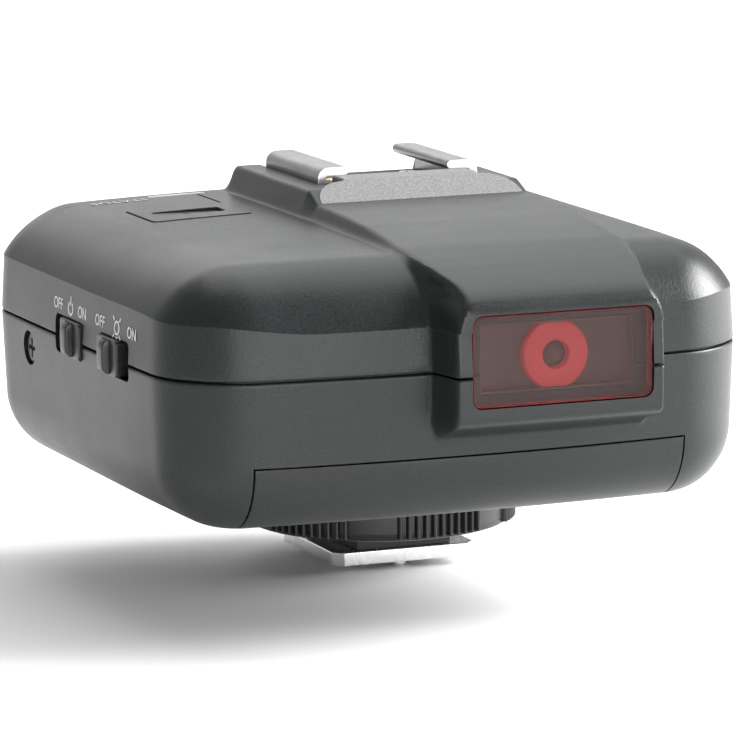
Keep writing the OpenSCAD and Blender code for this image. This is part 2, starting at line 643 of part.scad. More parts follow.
upper_case();
lower_case();
rear_panel();
battery_door();
battery_tray();
lamp_window();
lamp_ring();
lamp_holder();
lamp_led();
status_lamp();
shoe_rails();
shoe_base();
shoe_contacts();
shoe_screws();
foot_plate();
foot_block();
foot_column();
foot_pins();
lock_wheel();
lock_pin();
foot_screws();
power_switch_knob();
lamp_switch_knob();
power_switch_body();
lamp_switch_body();
test_button();
test_switch();
mode_button();
group_button();
channel_button();
key_switches();
select_dial();
dial_encoder();
display_window();
display_panel();
main_board();
control_board();
radio_module();
antenna();
battery_cells();
battery_springs();
battery_contacts();
sync_socket();
usb_socket();
case_screws();
side_screw_m2();
board_screws();
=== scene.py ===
"""Wireless flash trigger: the visual model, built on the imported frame."""

import json
import math

import bmesh
import bpy
import numpy as np
from mathutils import Matrix, Vector


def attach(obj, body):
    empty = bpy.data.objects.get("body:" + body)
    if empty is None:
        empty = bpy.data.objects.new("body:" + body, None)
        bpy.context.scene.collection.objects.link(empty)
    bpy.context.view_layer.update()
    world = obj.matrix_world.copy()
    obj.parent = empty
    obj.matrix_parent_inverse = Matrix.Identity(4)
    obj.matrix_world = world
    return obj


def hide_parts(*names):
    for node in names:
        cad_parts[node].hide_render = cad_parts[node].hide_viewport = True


bl_info = {
    "name": "Wireless Flash Trigger",
    "version": (1, 0, 0),
    "blender": (4, 5, 0),
    "location": "View3D > Sidebar > Flash Trigger",
    "description": "Builds a radio flash trigger with its case, shoe, foot, switches and display",
    "category": "Object",
}

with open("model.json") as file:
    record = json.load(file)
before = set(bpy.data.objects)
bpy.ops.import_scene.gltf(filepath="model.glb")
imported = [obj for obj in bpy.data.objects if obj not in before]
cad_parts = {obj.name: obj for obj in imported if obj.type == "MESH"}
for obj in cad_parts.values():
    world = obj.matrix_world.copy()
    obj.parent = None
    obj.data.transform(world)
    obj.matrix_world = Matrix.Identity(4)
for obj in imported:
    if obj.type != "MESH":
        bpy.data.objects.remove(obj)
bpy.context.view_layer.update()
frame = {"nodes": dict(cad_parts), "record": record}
MM = 0.001

# Case outline in millimetres, in the frame of the foot plate
XL, XR, YF, YR = -43.9, 29.1, -51.0, 21.0
CX, CY = (XL + XR) / 2, (YF + YR) / 2
RC = 10.0
KX0, KX1, KY0, KY1 = XL + RC, XR - RC, YF + RC, YR - RC
Z_BOTTOM, Z_PART, Z_TOP = 12.8, 30.75, 43.0
R_BOTTOM = 8.2
RT, RL = RC - 0.35, RC - 0.4
WALL = 1.8
SEAM = 0.12
BEZEL_Y = -56.6
GAP = 0.22  # play round the test button and the door
INK = 0.02  # half thickness of printed marks

# Boxes of openings and fittings: low and high of the first axis, then of the second
TEST = (-31.2, -18.9, -7.0, 3.0)  # test button, X and Y
STATUS_BAR = (-24.95, -17.45, 12.2, 13.4)  # status light, X and Y
DOOR = (-34.5, 18.4, -18.6, 20.7)  # battery door: X, then its rear Y and its top Z
WINDOW = (-11.2, 11.2, 27.1, 37.8)  # lamp window's opening, X and Z
LAMP_BOX = (-9.7, 9.7, 28.4, 36.6)  # well behind the lamp window, X and Z
PANEL = (-36.0, 18.0, 17.4, 35.0)  # rear panel, X and Z
LCD = (-9.6, 15.6, 19.1, 33.3)  # display, X and Z
USB = (-16.0, -8.0, 21.35, 24.65)  # charging socket, Y and Z

# Centres
LAMP = (0, (27.2 + 37.7) / 2)  # X and Z
DIAL = (-27, 26.2)  # X and Z
KEY_X, KEY_Z = -15, (20.6, 26.2, 31.8)
JACK = (-2, 23)  # Y and Z
SIDE_SCREW = (2.8, 27.6)  # Y and Z
POSTS = [(-38, 14.5), (22.5, 14.5)]
SHOE_SCREWS = [(x, y) for x in (-7.4, 7.4) for y in (-4.4, 7.4)]
FOOT_SCREWS = [(x, y) for x in (-3.2, 3.2) for y in (-6.4, 6.4)]
LOCK_PIN = (0, -6.6)
FOOT_PINS = [(0, 0), (-3.6, -2.6), (3.6, -2.6), (-3.6, 2.6), (3.6, 2.6)]
SWITCH_Z = 31.1


def size(name, note, default, low, high):
    """A length that a user may change"""
    return bpy.props.FloatProperty(name=name, description=note + ", in millimetres", default=default, min=low, max=high)


def number(name, note, default, low, high):
    """A count that a user may change"""
    return bpy.props.IntProperty(name=name, description=note, default=default, min=low, max=high)


def colour(name, note, default):
    """A colour that a user may change"""
    return bpy.props.FloatVectorProperty(
        name=name, description=note, subtype="COLOR", size=3, default=default, min=0, max=1
    )


class TriggerShape(bpy.types.PropertyGroup):
    """Sizes that shape the case and its fittings"""

    dome: size("Shoulder dome", "Rise of the shoulder towards its middle", 0.75, 0, 1.5)
    front_bow: size("Front bow", "How far the front wall falls back at its ends", 1.9, 0, 3)
    side_bow: size("Side bow", "How far the side walls fall back at their front ends", 0.6, 0, 2)
    seam_round: size("Seam rounding", "Rounding of the edges at seams", 0.22, 0.05, 0.5)
    ridge_half: size("Ridge half width", "Half width of the ridge's flat top", 13.2, 11, 14)
    rib_count: number("Ribs in a group", "Ribs in each of the lock wheel's six groups", 11, 5, 20)
    flute_count: number("Dial ribs", "Ribs round the select dial", 40, 20, 80)


class TriggerFinish(bpy.types.PropertyGroup):
    """Colours and surface finishes"""

    body: colour("Case", "Colour of the moulded case", (0.0108, 0.0128, 0.0132))
    knob: colour("Knobs", "Colour of knobs and the lock wheel", (0.012, 0.012, 0.013))
    metal: colour("Shoe metal", "Colour of the shoe rails", (0.30, 0.30, 0.295))
    lamp: colour("Lamp window", "Tint of the lamp window", (0.066, 0.040, 0.037))
    label: colour("Labels", "Colour of the printed labels", (0.82, 0.83, 0.83))
    grain: bpy.props.FloatProperty(
        name="Moulded grain", description="Depth of the moulded grain", default=0.34, min=0, max=1
    )


def shape():
    return bpy.context.scene.trigger_shape


def finish():
    return bpy.context.scene.trigger_finish


# ---------- node writing ----------


class Sock:
    """A node socket that takes part in sums"""

    def __init__(self, tree, out):
        self.tree, self.out = tree, out

    def calc(self, op, other=0.0, flip=False):
        a, b = (other, self) if flip else (self, other)
        return self.tree.node("ShaderNodeMath", {"operation": op}, {0: a, 1: b})

    def __add__(self, o):
        return self.calc("ADD", o)

    def __radd__(self, o):
        return self.calc("ADD", o, True)

    def __sub__(self, o):
        return self.calc("SUBTRACT", o)

    def __rsub__(self, o):
        return self.calc("SUBTRACT", o, True)

    def __mul__(self, o):
        return self.calc("MULTIPLY", o)

    def __rmul__(self, o):
        return self.calc("MULTIPLY", o, True)

    def __truediv__(self, o):
        return self.calc("DIVIDE", o)

    def clamp(self):
        return self.tree.node("ShaderNodeClamp", {}, {0: self})


class Writer:
    """Adds nodes to a tree"""

    def feed(self, node, inputs):
        """Sets or links a node's inputs; a list links several to one"""
        for key, value in inputs.items():
            for one in value if isinstance(value, list) else [value]:
                if isinstance(one, Sock):
                    self.nt.links.new(one.out, node.inputs[key])
                else:
                    node.inputs[key].default_value = one

    def node(self, kind, settings=None, inputs=None, output=0):
        n = self.nt.nodes.new(kind)
        for key, value in (settings or {}).items():
            if key == "stops":
                ramp = n.color_ramp.elements
                while len(ramp) < len(value):
                    ramp.new(0.5)
                for e, (pos, col) in zip(ramp, value):
                    e.position = pos
                    e.color = (col, col, col, 1.0) if isinstance(col, (int, float)) else (*col, 1.0)
            else:
                setattr(n, key, value)
        self.feed(n, inputs or {})
        return Sock(self, n.outputs[output])


class Shader(Writer):
    """Writes one material"""

    def __init__(self, name):
        self.mat = bpy.data.materials.get(name) or bpy.data.materials.new(name)
        self.mat.use_nodes = True
        self.nt = self.mat.node_tree
        self.nt.nodes.clear()
        self.coords = self.node("ShaderNodeTexCoord", {}, {}, "Object")

    def noise(self, scale, detail=3.0, rough=0.5, vector=None):
        inputs = {"Vector": vector or self.coords, "Scale": scale, "Detail": detail, "Roughness": rough}
        return self.node("ShaderNodeTexNoise", {}, inputs)

    def ramp(self, value, *stops):
        return self.node("ShaderNodeValToRGB", {"stops": stops}, {0: value})

    def mix(self, fac, a, b):
        a, b = (v if isinstance(v, Sock) else (*v, 1.0) for v in (a, b))
        return self.node("ShaderNodeMix", {"data_type": "RGBA"}, {0: fac, 6: a, 7: b}, 2)

    def bump(self, height, strength, distance=0.0001):
        return self.node("ShaderNodeBump", {}, {"Strength": strength, "Distance": distance, "Height": height})

    def surface(self, **inputs):
        b = self.nt.nodes.new("ShaderNodeBsdfPrincipled")
        self.feed(b, {k.replace("_", " "): (*v, 1.0) if isinstance(v, tuple) else v for k, v in inputs.items()})
        o = self.nt.nodes.new("ShaderNodeOutputMaterial")
        self.nt.links.new(b.outputs[0], o.inputs[0])
        return self.mat


def tone(col, f):
    return tuple(min(1.0, c * f) for c in col)


def moulded(name, col, rough, grain=None, spec=0.5):
    """Moulded plastic with a fine spark-eroded grain, faint sheen changes and a little handling polish"""
    s = Shader(name)
    g = finish().grain if grain is None else grain
    fine = s.noise(4200.0, 2.0, 0.6)
    mid = s.noise(1500.0, 2.0, 0.5)
    wide = s.noise(60.0, 3.0, 0.55)
    speck = s.ramp(fine, (0.36, tone(col, 0.72)), (0.52, col), (0.68, tone(col, 1.45)))
    shade = s.mix(s.ramp(wide, (0.35, 0.0), (0.65, 0.35)), speck, tone(col, 1.16))
    polish = (fine - 0.5) * 0.22 + (wide - 0.5) * 0.16 + rough
    relief = s.bump(fine * 0.75 + mid * 0.25, g)
    return s.surface(Base_Color=shade, Roughness=polish.clamp(), Normal=relief, Specular_IOR_Level=spec)


def metal(name, col, rough, grain, brushed=(1.0, 1.0, 1.0)):
    """Plated or brushed metal with fine lines, small dents and duller patches"""
    s = Shader(name)
    stretch = s.node("ShaderNodeMapping", {}, {"Vector": s.coords, "Scale": brushed})
    lines = s.noise(900.0, 4.0, 0.6, stretch)
    dull = s.noise(170.0, 4.0, 0.6)
    shade = s.mix(s.ramp(dull, (0.35, 0.0), (0.7, 1.0)), col, tone(col, 0.82))
    worn = (lines - 0.5) * 0.25 + (dull - 0.5) * 0.2 + rough
    return s.surface(Base_Color=shade, Metallic=1.0, Roughness=worn.clamp(), Normal=s.bump(lines, grain))


def speckled(name, noise, stops, rough, grain, **more):
    """A surface whose colour, gloss and relief follow one fine noise; rough is its swing and its base"""
    s = Shader(name)
    n = s.noise(*noise)
    gloss = (n * rough[0] + rough[1]).clamp()
    return s.surface(Base_Color=s.ramp(n, *stops), Roughness=gloss, Normal=s.bump(n, grain), **more)


def printed(name, col):
    """Silk-screened ink, slightly uneven"""
    return speckled(name, (2600.0, 3.0, 0.6), [(0.3, tone(col, 0.8)), (0.6, col)], (0.2, 0.5), 0.05)


def clouded(name, noise, low, high, rough, grain, **more):
    """A surface that drifts between two colours, with a fine noise in its gloss and relief"""
    s = Shader(name)
    n = s.noise(*noise[0])
    w = s.noise(*noise[1])
    gloss = (n * rough[0] + rough[1]).clamp()
    return s.surface(Base_Color=s.mix(w, low, high), Roughness=gloss, Normal=s.bump(n, grain), **more)


def lamp_filter(tint):
    """Dark red-brown filter, glossy, seen through a little"""
    s = Shader("lamp_filter")
    n = s.noise(700.0, 2.0, 0.5)
    cloudy = s.ramp(n, (0.3, tone(tint, 0.95)), (0.7, tone(tint, 1.05)))
    return s.surface(Base_Color=cloudy, Roughness=0.12, Alpha=0.34, Specular_IOR_Level=0.3)


def display_glass():
    """Clear cover with a hard coat"""
    s = Shader("display_glass")
    n = s.noise(800.0, 2.0, 0.5)
    gloss = ((n - 0.5) * 0.04 + 0.08).clamp()
    return s.surface(
        Base_Color=(0.5, 0.53, 0.52), Roughness=gloss, Alpha=0.16, Coat_Weight=0.5, Coat_Roughness=0.04,
        Normal=s.bump(n, 0.006),
    )


def cell_sleeve():
    """Battery sleeve with a copper-coloured end"""
    s = Shader("cell_sleeve")
    along = s.node("ShaderNodeSeparateXYZ", {}, {0: s.coords})
    n = s.noise(600.0, 3.0, 0.5)
    bands = s.ramp(along * 20.0 + 0.72, (0.30, (0.62, 0.42, 0.14)), (0.31, (0.015, 0.016, 0.018)))
    return s.surface(Base_Color=bands, Metallic=0.35, Roughness=(n * 0.12 + 0.25).clamp(), Normal=s.bump(n, 0.02))


MATS = {}


def make_materials():
    f = finish()
    knob = tuple(f.knob)
    MATS.update(
        case=moulded("case_plastic", tuple(f.body), 0.36, spec=0.39),
        stop=moulded("stop_plastic", (0.165, 0.165, 0.165), 0.5, 0.15),
        knob=moulded("knob_plastic", knob, 0.34, 0.1),
        wheel=moulded("wheel_plastic", tone(knob, 1.1), 0.34, 0.12),
        inner=moulded("inner_plastic", (0.012, 0.012, 0.012), 0.6),
        key=moulded("key_rubber", (0.05, 0.05, 0.052), 0.62, 0.2),
        rail=metal("rail_nickel", tuple(f.metal), 0.34, 0.08, (1.0, 0.08, 1.0)),
        # Brighter copy of the rail metal for the rail ends: a painted highlight standing in for light caught on their
        # bevels
        rail_cut=metal("rail_cut_end", (0.85, 0.85, 0.84), 0.42, 0.12),
        foot=metal("foot_nickel", (0.78, 0.78, 0.77), 0.26, 0.05, (1.0, 0.1, 1.0)),
        gold=metal("contact_gold", (0.86, 0.62, 0.26), 0.25, 0.04),
        screw=metal("screw_black", (0.12, 0.12, 0.125), 0.42, 0.06),
        bright_screw=metal("screw_bright", (0.7, 0.7, 0.7), 0.28, 0.05),
        tin=metal("tinned_sheet", (0.66, 0.66, 0.64), 0.35, 0.06),
        copper=metal("antenna_wire", (0.72, 0.4, 0.2), 0.3, 0.05),
        label=printed("label_ink", tuple(f.label)),
        status_ink=printed("status_ink", (0.5, 0.51, 0.51)),
        lcd_ink=printed("display_segments", (0.02, 0.025, 0.025)),
        lamp=lamp_filter(tuple(f.lamp)),
        lcd_glass=display_glass(),
        cell=cell_sleeve(),
    )
    MATS["panel"] = clouded(
        "panel_gloss", [(900.0, 3.0, 0.5), (45.0, 2.0, 0.5)], (0.010, 0.010, 0.011), (0.016, 0.016, 0.018),
        (0.06, 0.11), 0.012, Coat_Weight=0.3, Coat_Roughness=0.08,
    )
    MATS["lcd"] = clouded(
        "display_face", [(2400.0, 3.0, 0.6), (70.0, 2.0, 0.5)], (0.25, 0.30, 0.26), (0.30, 0.35, 0.30),
        (0.2, 0.35), 0.03,
    )
    MATS["lamp_edge"] = speckled(
        "lamp_filter_edge", (900.0, 2.0, 0.5), [(0.3, (0.20, 0.018, 0.02)), (0.7, (0.27, 0.025, 0.026))],
        (0.1, 0.2), 0.01,
    )
    MATS["red"] = speckled(
        "lamp_red", (1300.0, 2.0, 0.5), [(0.3, (0.66, 0.024, 0.035)), (0.7, (0.78, 0.035, 0.05))], (0.2, 0.3), 0.05,
        Emission_Color=(0.9, 0.03, 0.04), Emission_Strength=0.22,
    )
    MATS["chamber"] = speckled(
        "lamp_chamber", (1100.0, 2.0, 0.5), [(0.3, (0.10, 0.05, 0.045)), (0.7, (0.125, 0.062, 0.056))],
        (0.2, 0.45), 0.05,
    )
    MATS["pipe"] = speckled(
        "light_pipe", (1500.0, 2.0, 0.5), [(0.3, (0.34, 0.35, 0.35)), (0.7, (0.40, 0.41, 0.41))], (0.15, 0.25), 0.02
    )
    MATS["board"] = speckled(
        "solder_mask", (1300.0, 4.0, 0.6), [(0.4, (0.012, 0.09, 0.04)), (0.62, (0.02, 0.14, 0.06))], (0.2, 0.3), 0.15
    )


# ---------- mesh helpers ----------

AXES = {"Z": lambda u, v, w: (u, v, w), "Y": lambda u, v, w: (u, w, v), "X": lambda u, v, w: (w, u, v)}


def new_object(name, mesh, *mats):
    o = bpy.data.objects.new(name, mesh)
    bpy.context.collection.objects.link(o)
    for m in mats:
        mesh.materials.append(MATS[m] if isinstance(m, str) else m)
    return o


def apply_modifiers(o):
    """Turns the evaluated object into a plain mesh and drops its modifiers"""
    bpy.context.view_layer.update()
    dg = bpy.context.evaluated_depsgraph_get()
    me = bpy.data.meshes.new_from_object(o.evaluated_get(dg), preserve_all_data_layers=True, depsgraph=dg)
    o.modifiers.clear()
    old, o.data = o.data, me
    bpy.data.meshes.remove(old)
    return o


def smooth(o, angle, weighted=True):
    me = o.data
    me.polygons.foreach_set("use_smooth", [True] * len(me.polygons))
    me.set_sharp_from_angle(angle=math.radians(angle))
    if weighted:
        m = o.modifiers.new("even_shading", "WEIGHTED_NORMAL")
        m.keep_sharp = True
        m.weight = 80
        apply_modifiers(o)
    return o


def solid_of(name, sheets, *mats, weld=0.0015):
    """Closed mesh from grids of points in millimetres; each grid is (rows, columns, 3)"""
    bm = bmesh.new()
    for g in sheets:
        g = np.asarray(g, float) * MM
        rows = [[bm.verts.new(p) for p in row] for row in g]
        for a, b in zip(rows, rows[1:]):
            for i in range(len(a) - 1):
                bm.faces.new((a[i], a[i + 1], b[i + 1], b[i]))
    bmesh.ops.remove_doubles(bm, verts=bm.verts, dist=weld * MM)
    bmesh.ops.dissolve_degenerate(bm, dist=weld * MM * 0.2, edges=bm.edges)
    bmesh.ops.recalc_face_normals(bm, faces=bm.faces)
    me = bpy.data.meshes.new(name)
    bm.to_mesh(me)
    bm.free()
    return new_object(name, me, *mats)


def prism(outline, a, b, axis="Z", bevel=0.0, seg=2):
    """bmesh of a 2D outline (millimetres) extruded along an axis from a to b, with rounded rims"""
    bm = bmesh.new()
    put = AXES[axis]
    lo = [bm.verts.new(put(u, v, a)) for u, v in outline]
    hi = [bm.verts.new(put(u, v, b)) for u, v in outline]
    bm.faces.new(lo)
    bm.faces.new(hi)
    n = len(lo)
    for i in range(n):
        bm.faces.new((lo[i], lo[(i + 1) % n], hi[(i + 1) % n], hi[i]))
    bmesh.ops.recalc_face_normals(bm, faces=bm.faces)
    if bevel:
        rims = [e for e in bm.edges if any(e.verts[0] in end and e.verts[1] in end for end in (hi, lo))]
        bevel_edges(bm, rims, bevel, seg)
    return bm


def bevel_edges(bm, edges, width, seg=2):
    bmesh.ops.bevel(bm, geom=edges, offset=width, segments=seg, profile=0.5, affect="EDGES", clamp_overlap=True)


def merge(*bms):
    """One bmesh from several"""
    out = bmesh.new()
    for b in bms:
        me = bpy.data.meshes.new("part")
        b.to_mesh(me)
        b.free()
        out.from_mesh(me)
        bpy.data.meshes.remove(me)
    return out


def finish_bm(name, bm, *mats, turn=None):
    """Object in metres from a bmesh in millimetres"""
    if turn is not None:
        bm.transform(turn)
    bm.transform(Matrix.Scale(MM, 4))
    me = bpy.data.meshes.new(name)
    bm.to_mesh(me)
    bm.free()
    return new_object(name, me, *mats)


def rounded(x0, x1, y0, y1, r, n=6):
    """Outline of a box with round corners"""
    pts = []
    for cx, cy, a0 in ((x1 - r, y1 - r, 0), (x0 + r, y1 - r, 90), (x0 + r, y0 + r, 180), (x1 - r, y0 + r, 270)):
        for i in range(n + 1):
            a = math.radians(a0 + 90 * i / n)
            pts.append((cx + r * math.cos(a), cy + r * math.sin(a)))
    return pts


def grown(box, by, r, n=6):
    """Rounded outline of a box made larger, or smaller where by is negative"""
    return rounded(box[0] - by, box[1] + by, box[2] - by, box[3] + by, r, n)


def circle(cx, cy, r, n=48):
    return [(cx + r * math.cos(2 * math.pi * i / n), cy + r * math.sin(2 * math.pi * i / n)) for i in range(n)]


def cut(o, *tools, op="DIFFERENCE"):
    """Boolean with one throwaway tool made of bmeshes that don't overlap"""
    tool = finish_bm("tool", merge(*tools))
    m = o.modifiers.new("cut", "BOOLEAN")
    m.operation, m.object = op, tool
    m.solver = "MANIFOLD"
    apply_modifiers(o)
    bpy.data.objects.remove(tool, do_unlink=True)
    return o


def place(o, body, *nodes, slot=None):
    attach(o, body)
    if nodes:
        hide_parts(*nodes)
    return o


def add(name, bm, mat, *nodes, body="case", slot="body", angle=None, turn=None):
    """A finished piece: a bmesh in millimetres, shaded smooth below an angle, on its body"""
    o = finish_bm(name, bm, mat, turn=turn)
    if angle:
        smooth(o, angle)
    return place(o, body, *nodes, slot=slot)


def lathe(profile, centre, axis="Z", n=64):
    """bmesh of a profile of (radius, height) turned about an axis; the profile starts and ends on the axis"""
    bm = bmesh.new()
    cu, cv = centre
    put = AXES[axis]
    rings = []
    for r, h in profile:
        if r < 1e-6:
            rings.append([bm.verts.new(put(cu, cv, h))])
        else:
            turn = [2 * math.pi * i / n for i in range(n)]
            rings.append([bm.verts.new(put(cu + r * math.cos(a), cv + r * math.sin(a), h)) for a in turn])
    for a, b in zip(rings, rings[1:]):
        for i in range(n):
            j = (i + 1) % n
            q = [a[i % len(a)], a[j % len(a)], b[j % len(b)], b[i % len(b)]]
            q = list(dict.fromkeys(q))
            if len(q) > 2:
                bm.faces.new(q)
    bmesh.ops.recalc_face_normals(bm, faces=bm.faces)
    return bm


def bar(x0, x1, y0, y1, z0, z1, bevel=0.15):
    """bmesh of a block with rounded edges"""
    bm = bmesh.new()
    middle = Matrix.Translation(((x0 + x1) / 2, (y0 + y1) / 2, (z0 + z1) / 2))
    bmesh.ops.create_cube(bm, size=1, matrix=middle @ Matrix.Diagonal((x1 - x0, y1 - y0, z1 - z0, 1)))
    if bevel:
        bevel_edges(bm, list(bm.edges), bevel)
    return bm


def words(name, text, height, mat, matrix, width=1.0):
    """Printed words as a thin mesh; matrix turns and places them, in millimetres"""
    cu = bpy.data.curves.new(name, "FONT")
    cu.body = text
    cu.size = height
    cu.extrude = INK
    cu.align_x = "CENTER"
    cu.align_y = "CENTER"
    cu.resolution_u = 4
    cu.space_character = 1.04
    o = bpy.data.objects.new(name, cu)
    bpy.context.collection.objects.link(o)
    bpy.context.view_layer.update()
    me = bpy.data.meshes.new_from_object(o.evaluated_get(bpy.context.evaluated_depsgraph_get()))
    bpy.data.objects.remove(o, do_unlink=True)
    bpy.data.curves.remove(cu)
    me.transform(Matrix.Scale(MM, 4) @ matrix @ Matrix.Diagonal((width, 1, 1, 1)))
    me.materials.clear()
    return new_object(name, me, mat)


def frame_of(right, up, origin):
    """Matrix whose X runs along right and Y along up"""
    r, u = Vector(right).normalized(), Vector(up).normalized()
    n = r.cross(u)
    m = Matrix.Identity(4)
    for i in range(3):
        m[i][0], m[i][1], m[i][2], m[i][3] = r[i], u[i], n[i], origin[i]
    return m


def ring_sheet(r0, r1, a0, a1, n):
    """Thin arc in the XY plane"""
    closed = abs(a1 - a0) >= 360
    bm = bmesh.new()
    steps = n if closed else n + 1
    rows = []
    for i in range(steps):
        a = math.radians(a0 + (a1 - a0) * i / n)
        corners = ((r0, -INK), (r1, -INK), (r1, INK), (r0, INK))
        rows.append([bm.verts.new((r * math.cos(a), r * math.sin(a), z)) for r, z in corners])
    for i in range(n):
        a, b = rows[i], rows[(i + 1) % steps]
        for k in range(4):
            bm.faces.new((a[k], a[(k + 1) % 4], b[(k + 1) % 4], b[k]))
    if not closed:
        bm.faces.new(rows[0][::-1])
        bm.faces.new(rows[-1])
    bmesh.ops.recalc_face_normals(bm, faces=bm.faces)
    return bm


def stroke(x0, y0, x1, y1, w):
    """Thin straight line in the XY plane"""
    bm = bmesh.new()
    middle = Matrix.Translation(((x0 + x1) / 2, (y0 + y1) / 2, 0))
    turn = Matrix.Rotation(math.atan2(y1 - y0, x1 - x0), 4, "Z")
    length = math.hypot(x1 - x0, y1 - y0)
    bmesh.ops.create_cube(bm, size=1, matrix=middle @ turn @ Matrix.Diagonal((length, w, INK * 2, 1)))
    return bm


def from_behind(x, y, z):
    """Matrix of a mark that is read from behind the trigger"""
    return frame_of((-1, 0, 0), (0, 0, 1), (x, y, z))


# ---------- geometry nodes ----------


class Tree(Writer):
    """Writes a geometry node group with named inputs"""

    def __init__(self, name, **sizes):
        self.nt = bpy.data.node_groups.new(name, "GeometryNodeTree")
        face = self.nt.interface
        face.new_socket("Geometry", in_out="INPUT", socket_type="NodeSocketGeometry")
        self.values = {}
        for k, v in sizes.items():
            kind = "NodeSocketInt" if isinstance(v, int) else "NodeSocketFloat"
            sock = face.new_socket(k, in_out="INPUT", socket_type=kind)
            sock.default_value = v
            self.values[sock.identifier] = v
        face.new_socket("Geometry", in_out="OUTPUT", socket_type="NodeSocketGeometry")
        self.inp = self.nt.nodes.new("NodeGroupInput")
        self.out = self.nt.nodes.new("NodeGroupOutput")

    def get(self, *names):
        return [Sock(self, self.inp.outputs[name]) for name in names]

    def vec(self, x, y, z):
        return self.node("ShaderNodeCombineXYZ", {}, {0: x, 1: y, 2: z})

    def moved(self, geometry, **how):
        """Geometry with a Translation or a Scale"""
        return self.node("GeometryNodeTransform", {}, {"Geometry": geometry, **how})

    def run(self, name, mesh, geometry, mat):
        """Realizes the geometry with one material and returns it as a plain mesh object"""
        g = self.node("GeometryNodeRealizeInstances", {}, {0: geometry})
        g = self.node("GeometryNodeSetMaterial", {}, {"Geometry": g, "Material": MATS[mat]})
        self.nt.links.new(g.out, self.out.inputs[0])
        o = new_object(name, mesh)
        m = o.modifiers.new("grow", "NODES")
        m.node_group = self.nt
        for ident, v in self.values.items():
            m[ident] = v
        apply_modifiers(o)
        if not o.data.materials:
            o.data.materials.append(MATS[mat])
        return o


def points_mesh(name, pts):
    me = bpy.data.meshes.new(name)
    me.from_pydata([tuple(c * MM for c in p) for p in pts], [], [])
    return me


def screws(name, pts, radius, height, up, mat, *nodes):
    """Cross-head screw heads on points; up is +1 or -1 for Z, or 'X' for a head facing -X"""
    sizes = {"Slot": 0.62 * radius * 2, "Width": radius * 0.26}
    t = Tree(name + "_tree", Radius=radius * MM, Height=height * MM, **{k: v * MM for k, v in sizes.items()})
    points, r, h, slot, width = t.get("Geometry", "Radius", "Height", "Slot", "Width")
    head = t.node("GeometryNodeMeshCone", {}, {"Vertices": 40, "Radius Top": r * 0.84, "Radius Bottom": r, "Depth": h})
    head = t.moved(head, Translation=t.vec(0.0, 0.0, h * -0.5))
    cubes = []
    for sx, sy in ((slot, width), (width, slot)):
        cube = t.node("GeometryNodeMeshCube", {}, {"Size": t.vec(sx, sy, h)})
        cubes.append(t.moved(cube, Translation=t.vec(0.0, 0.0, h * 0.45)))
    head = t.node("GeometryNodeMeshBoolean", {"operation": "DIFFERENCE"}, {"Mesh 1": head, "Mesh 2": cubes})
    turn = {1: (0.0, 0.0, 0.0), -1: (math.pi, 0.0, 0.0), "X": (0.0, -math.pi / 2, 0.0)}[up]
    inst = t.node("GeometryNodeInstanceOnPoints", {}, {"Points": points, "Instance": head, "Rotation": turn})
    o = t.run(name, points_mesh(name, pts), inst, mat)
    smooth(o, 35, False)
    return place(o, "case", *nodes, slot=mat)


def ribs_round(name, base_bm, mat, centre, axis, radius, length, rib, count, groups=1, step=0.0, first=0.0, pitch=0.0):
    """A turned base with upright ribs set in groups round its rim; rib is its width and height, angles are degrees"""
    t = Tree(
        name + "_tree", Count=count, Radius=radius * MM, Width=rib[0] * MM, Height=rib[1] * MM, Length=length * MM,
        Step=math.radians(step), First=math.radians(first), Groups=groups, Pitch=math.radians(pitch),
    )
    n, r, width, height, long = t.get("Count", "Radius", "Width", "Height", "Length")
    step, first, groups, pitch = t.get("Step", "First", "Groups", "Pitch")
    line = t.node("GeometryNodeMeshLine", {"mode": "OFFSET"}, {"Count": n * groups, "Offset": (0.0, 0.0, 0.0)})
    index = t.node("GeometryNodeInputIndex")
    group = (index / n).calc("FLOOR")
    angle = first + (group * pitch + (index - group * n) * step)
    rim = t.vec(angle.calc("COSINE") * r, angle.calc("SINE") * r, 0.0)
    line = t.node("GeometryNodeSetPosition", {}, {"Geometry": line, "Position": rim})
    post = t.node("GeometryNodeMeshCylinder", {}, {"Vertices": 12, "Radius": 0.5, "Depth": 1.0})
    post = t.moved(post, Scale=t.vec(height * 2.0, width, long))
    turn = t.vec(0.0, 0.0, angle)
    inst = t.node("GeometryNodeInstanceOnPoints", {}, {"Points": line, "Instance": post, "Rotation": turn})
    ribs = t.run(name + "_ribs", points_mesh(name, [(0, 0, 0)]), inst, mat)
    m = Matrix.Translation([c * MM for c in centre])
    if axis == "Y":
        m = m @ Matrix.Rotation(-math.pi / 2, 4, "X")
    ribs.data.transform(m)
    bm = bmesh.new()
    bm.from_mesh(ribs.data)
    bpy.data.objects.remove(ribs, do_unlink=True)
    bm.transform(Matrix.Scale(1 / MM, 4))
    return finish_bm(name, merge(base_bm, bm), mat)


# ---------- the case surface ----------


def ease(t):
    """Smooth step from 0 to 1"""
    t = np.clip(t, 0, 1)
    return t * t * (3 - 2 * t)


def crease_z(x, y):
    """Height where the wall meets the crown: lower across the front"""
    side = ease((np.abs(x - CX) - 20) / 13.0)
    back = ease((y + 46) / 12.0)
    return 35.95 + 1.55 * np.maximum(side * 0.75 + 0.25 * back, back)


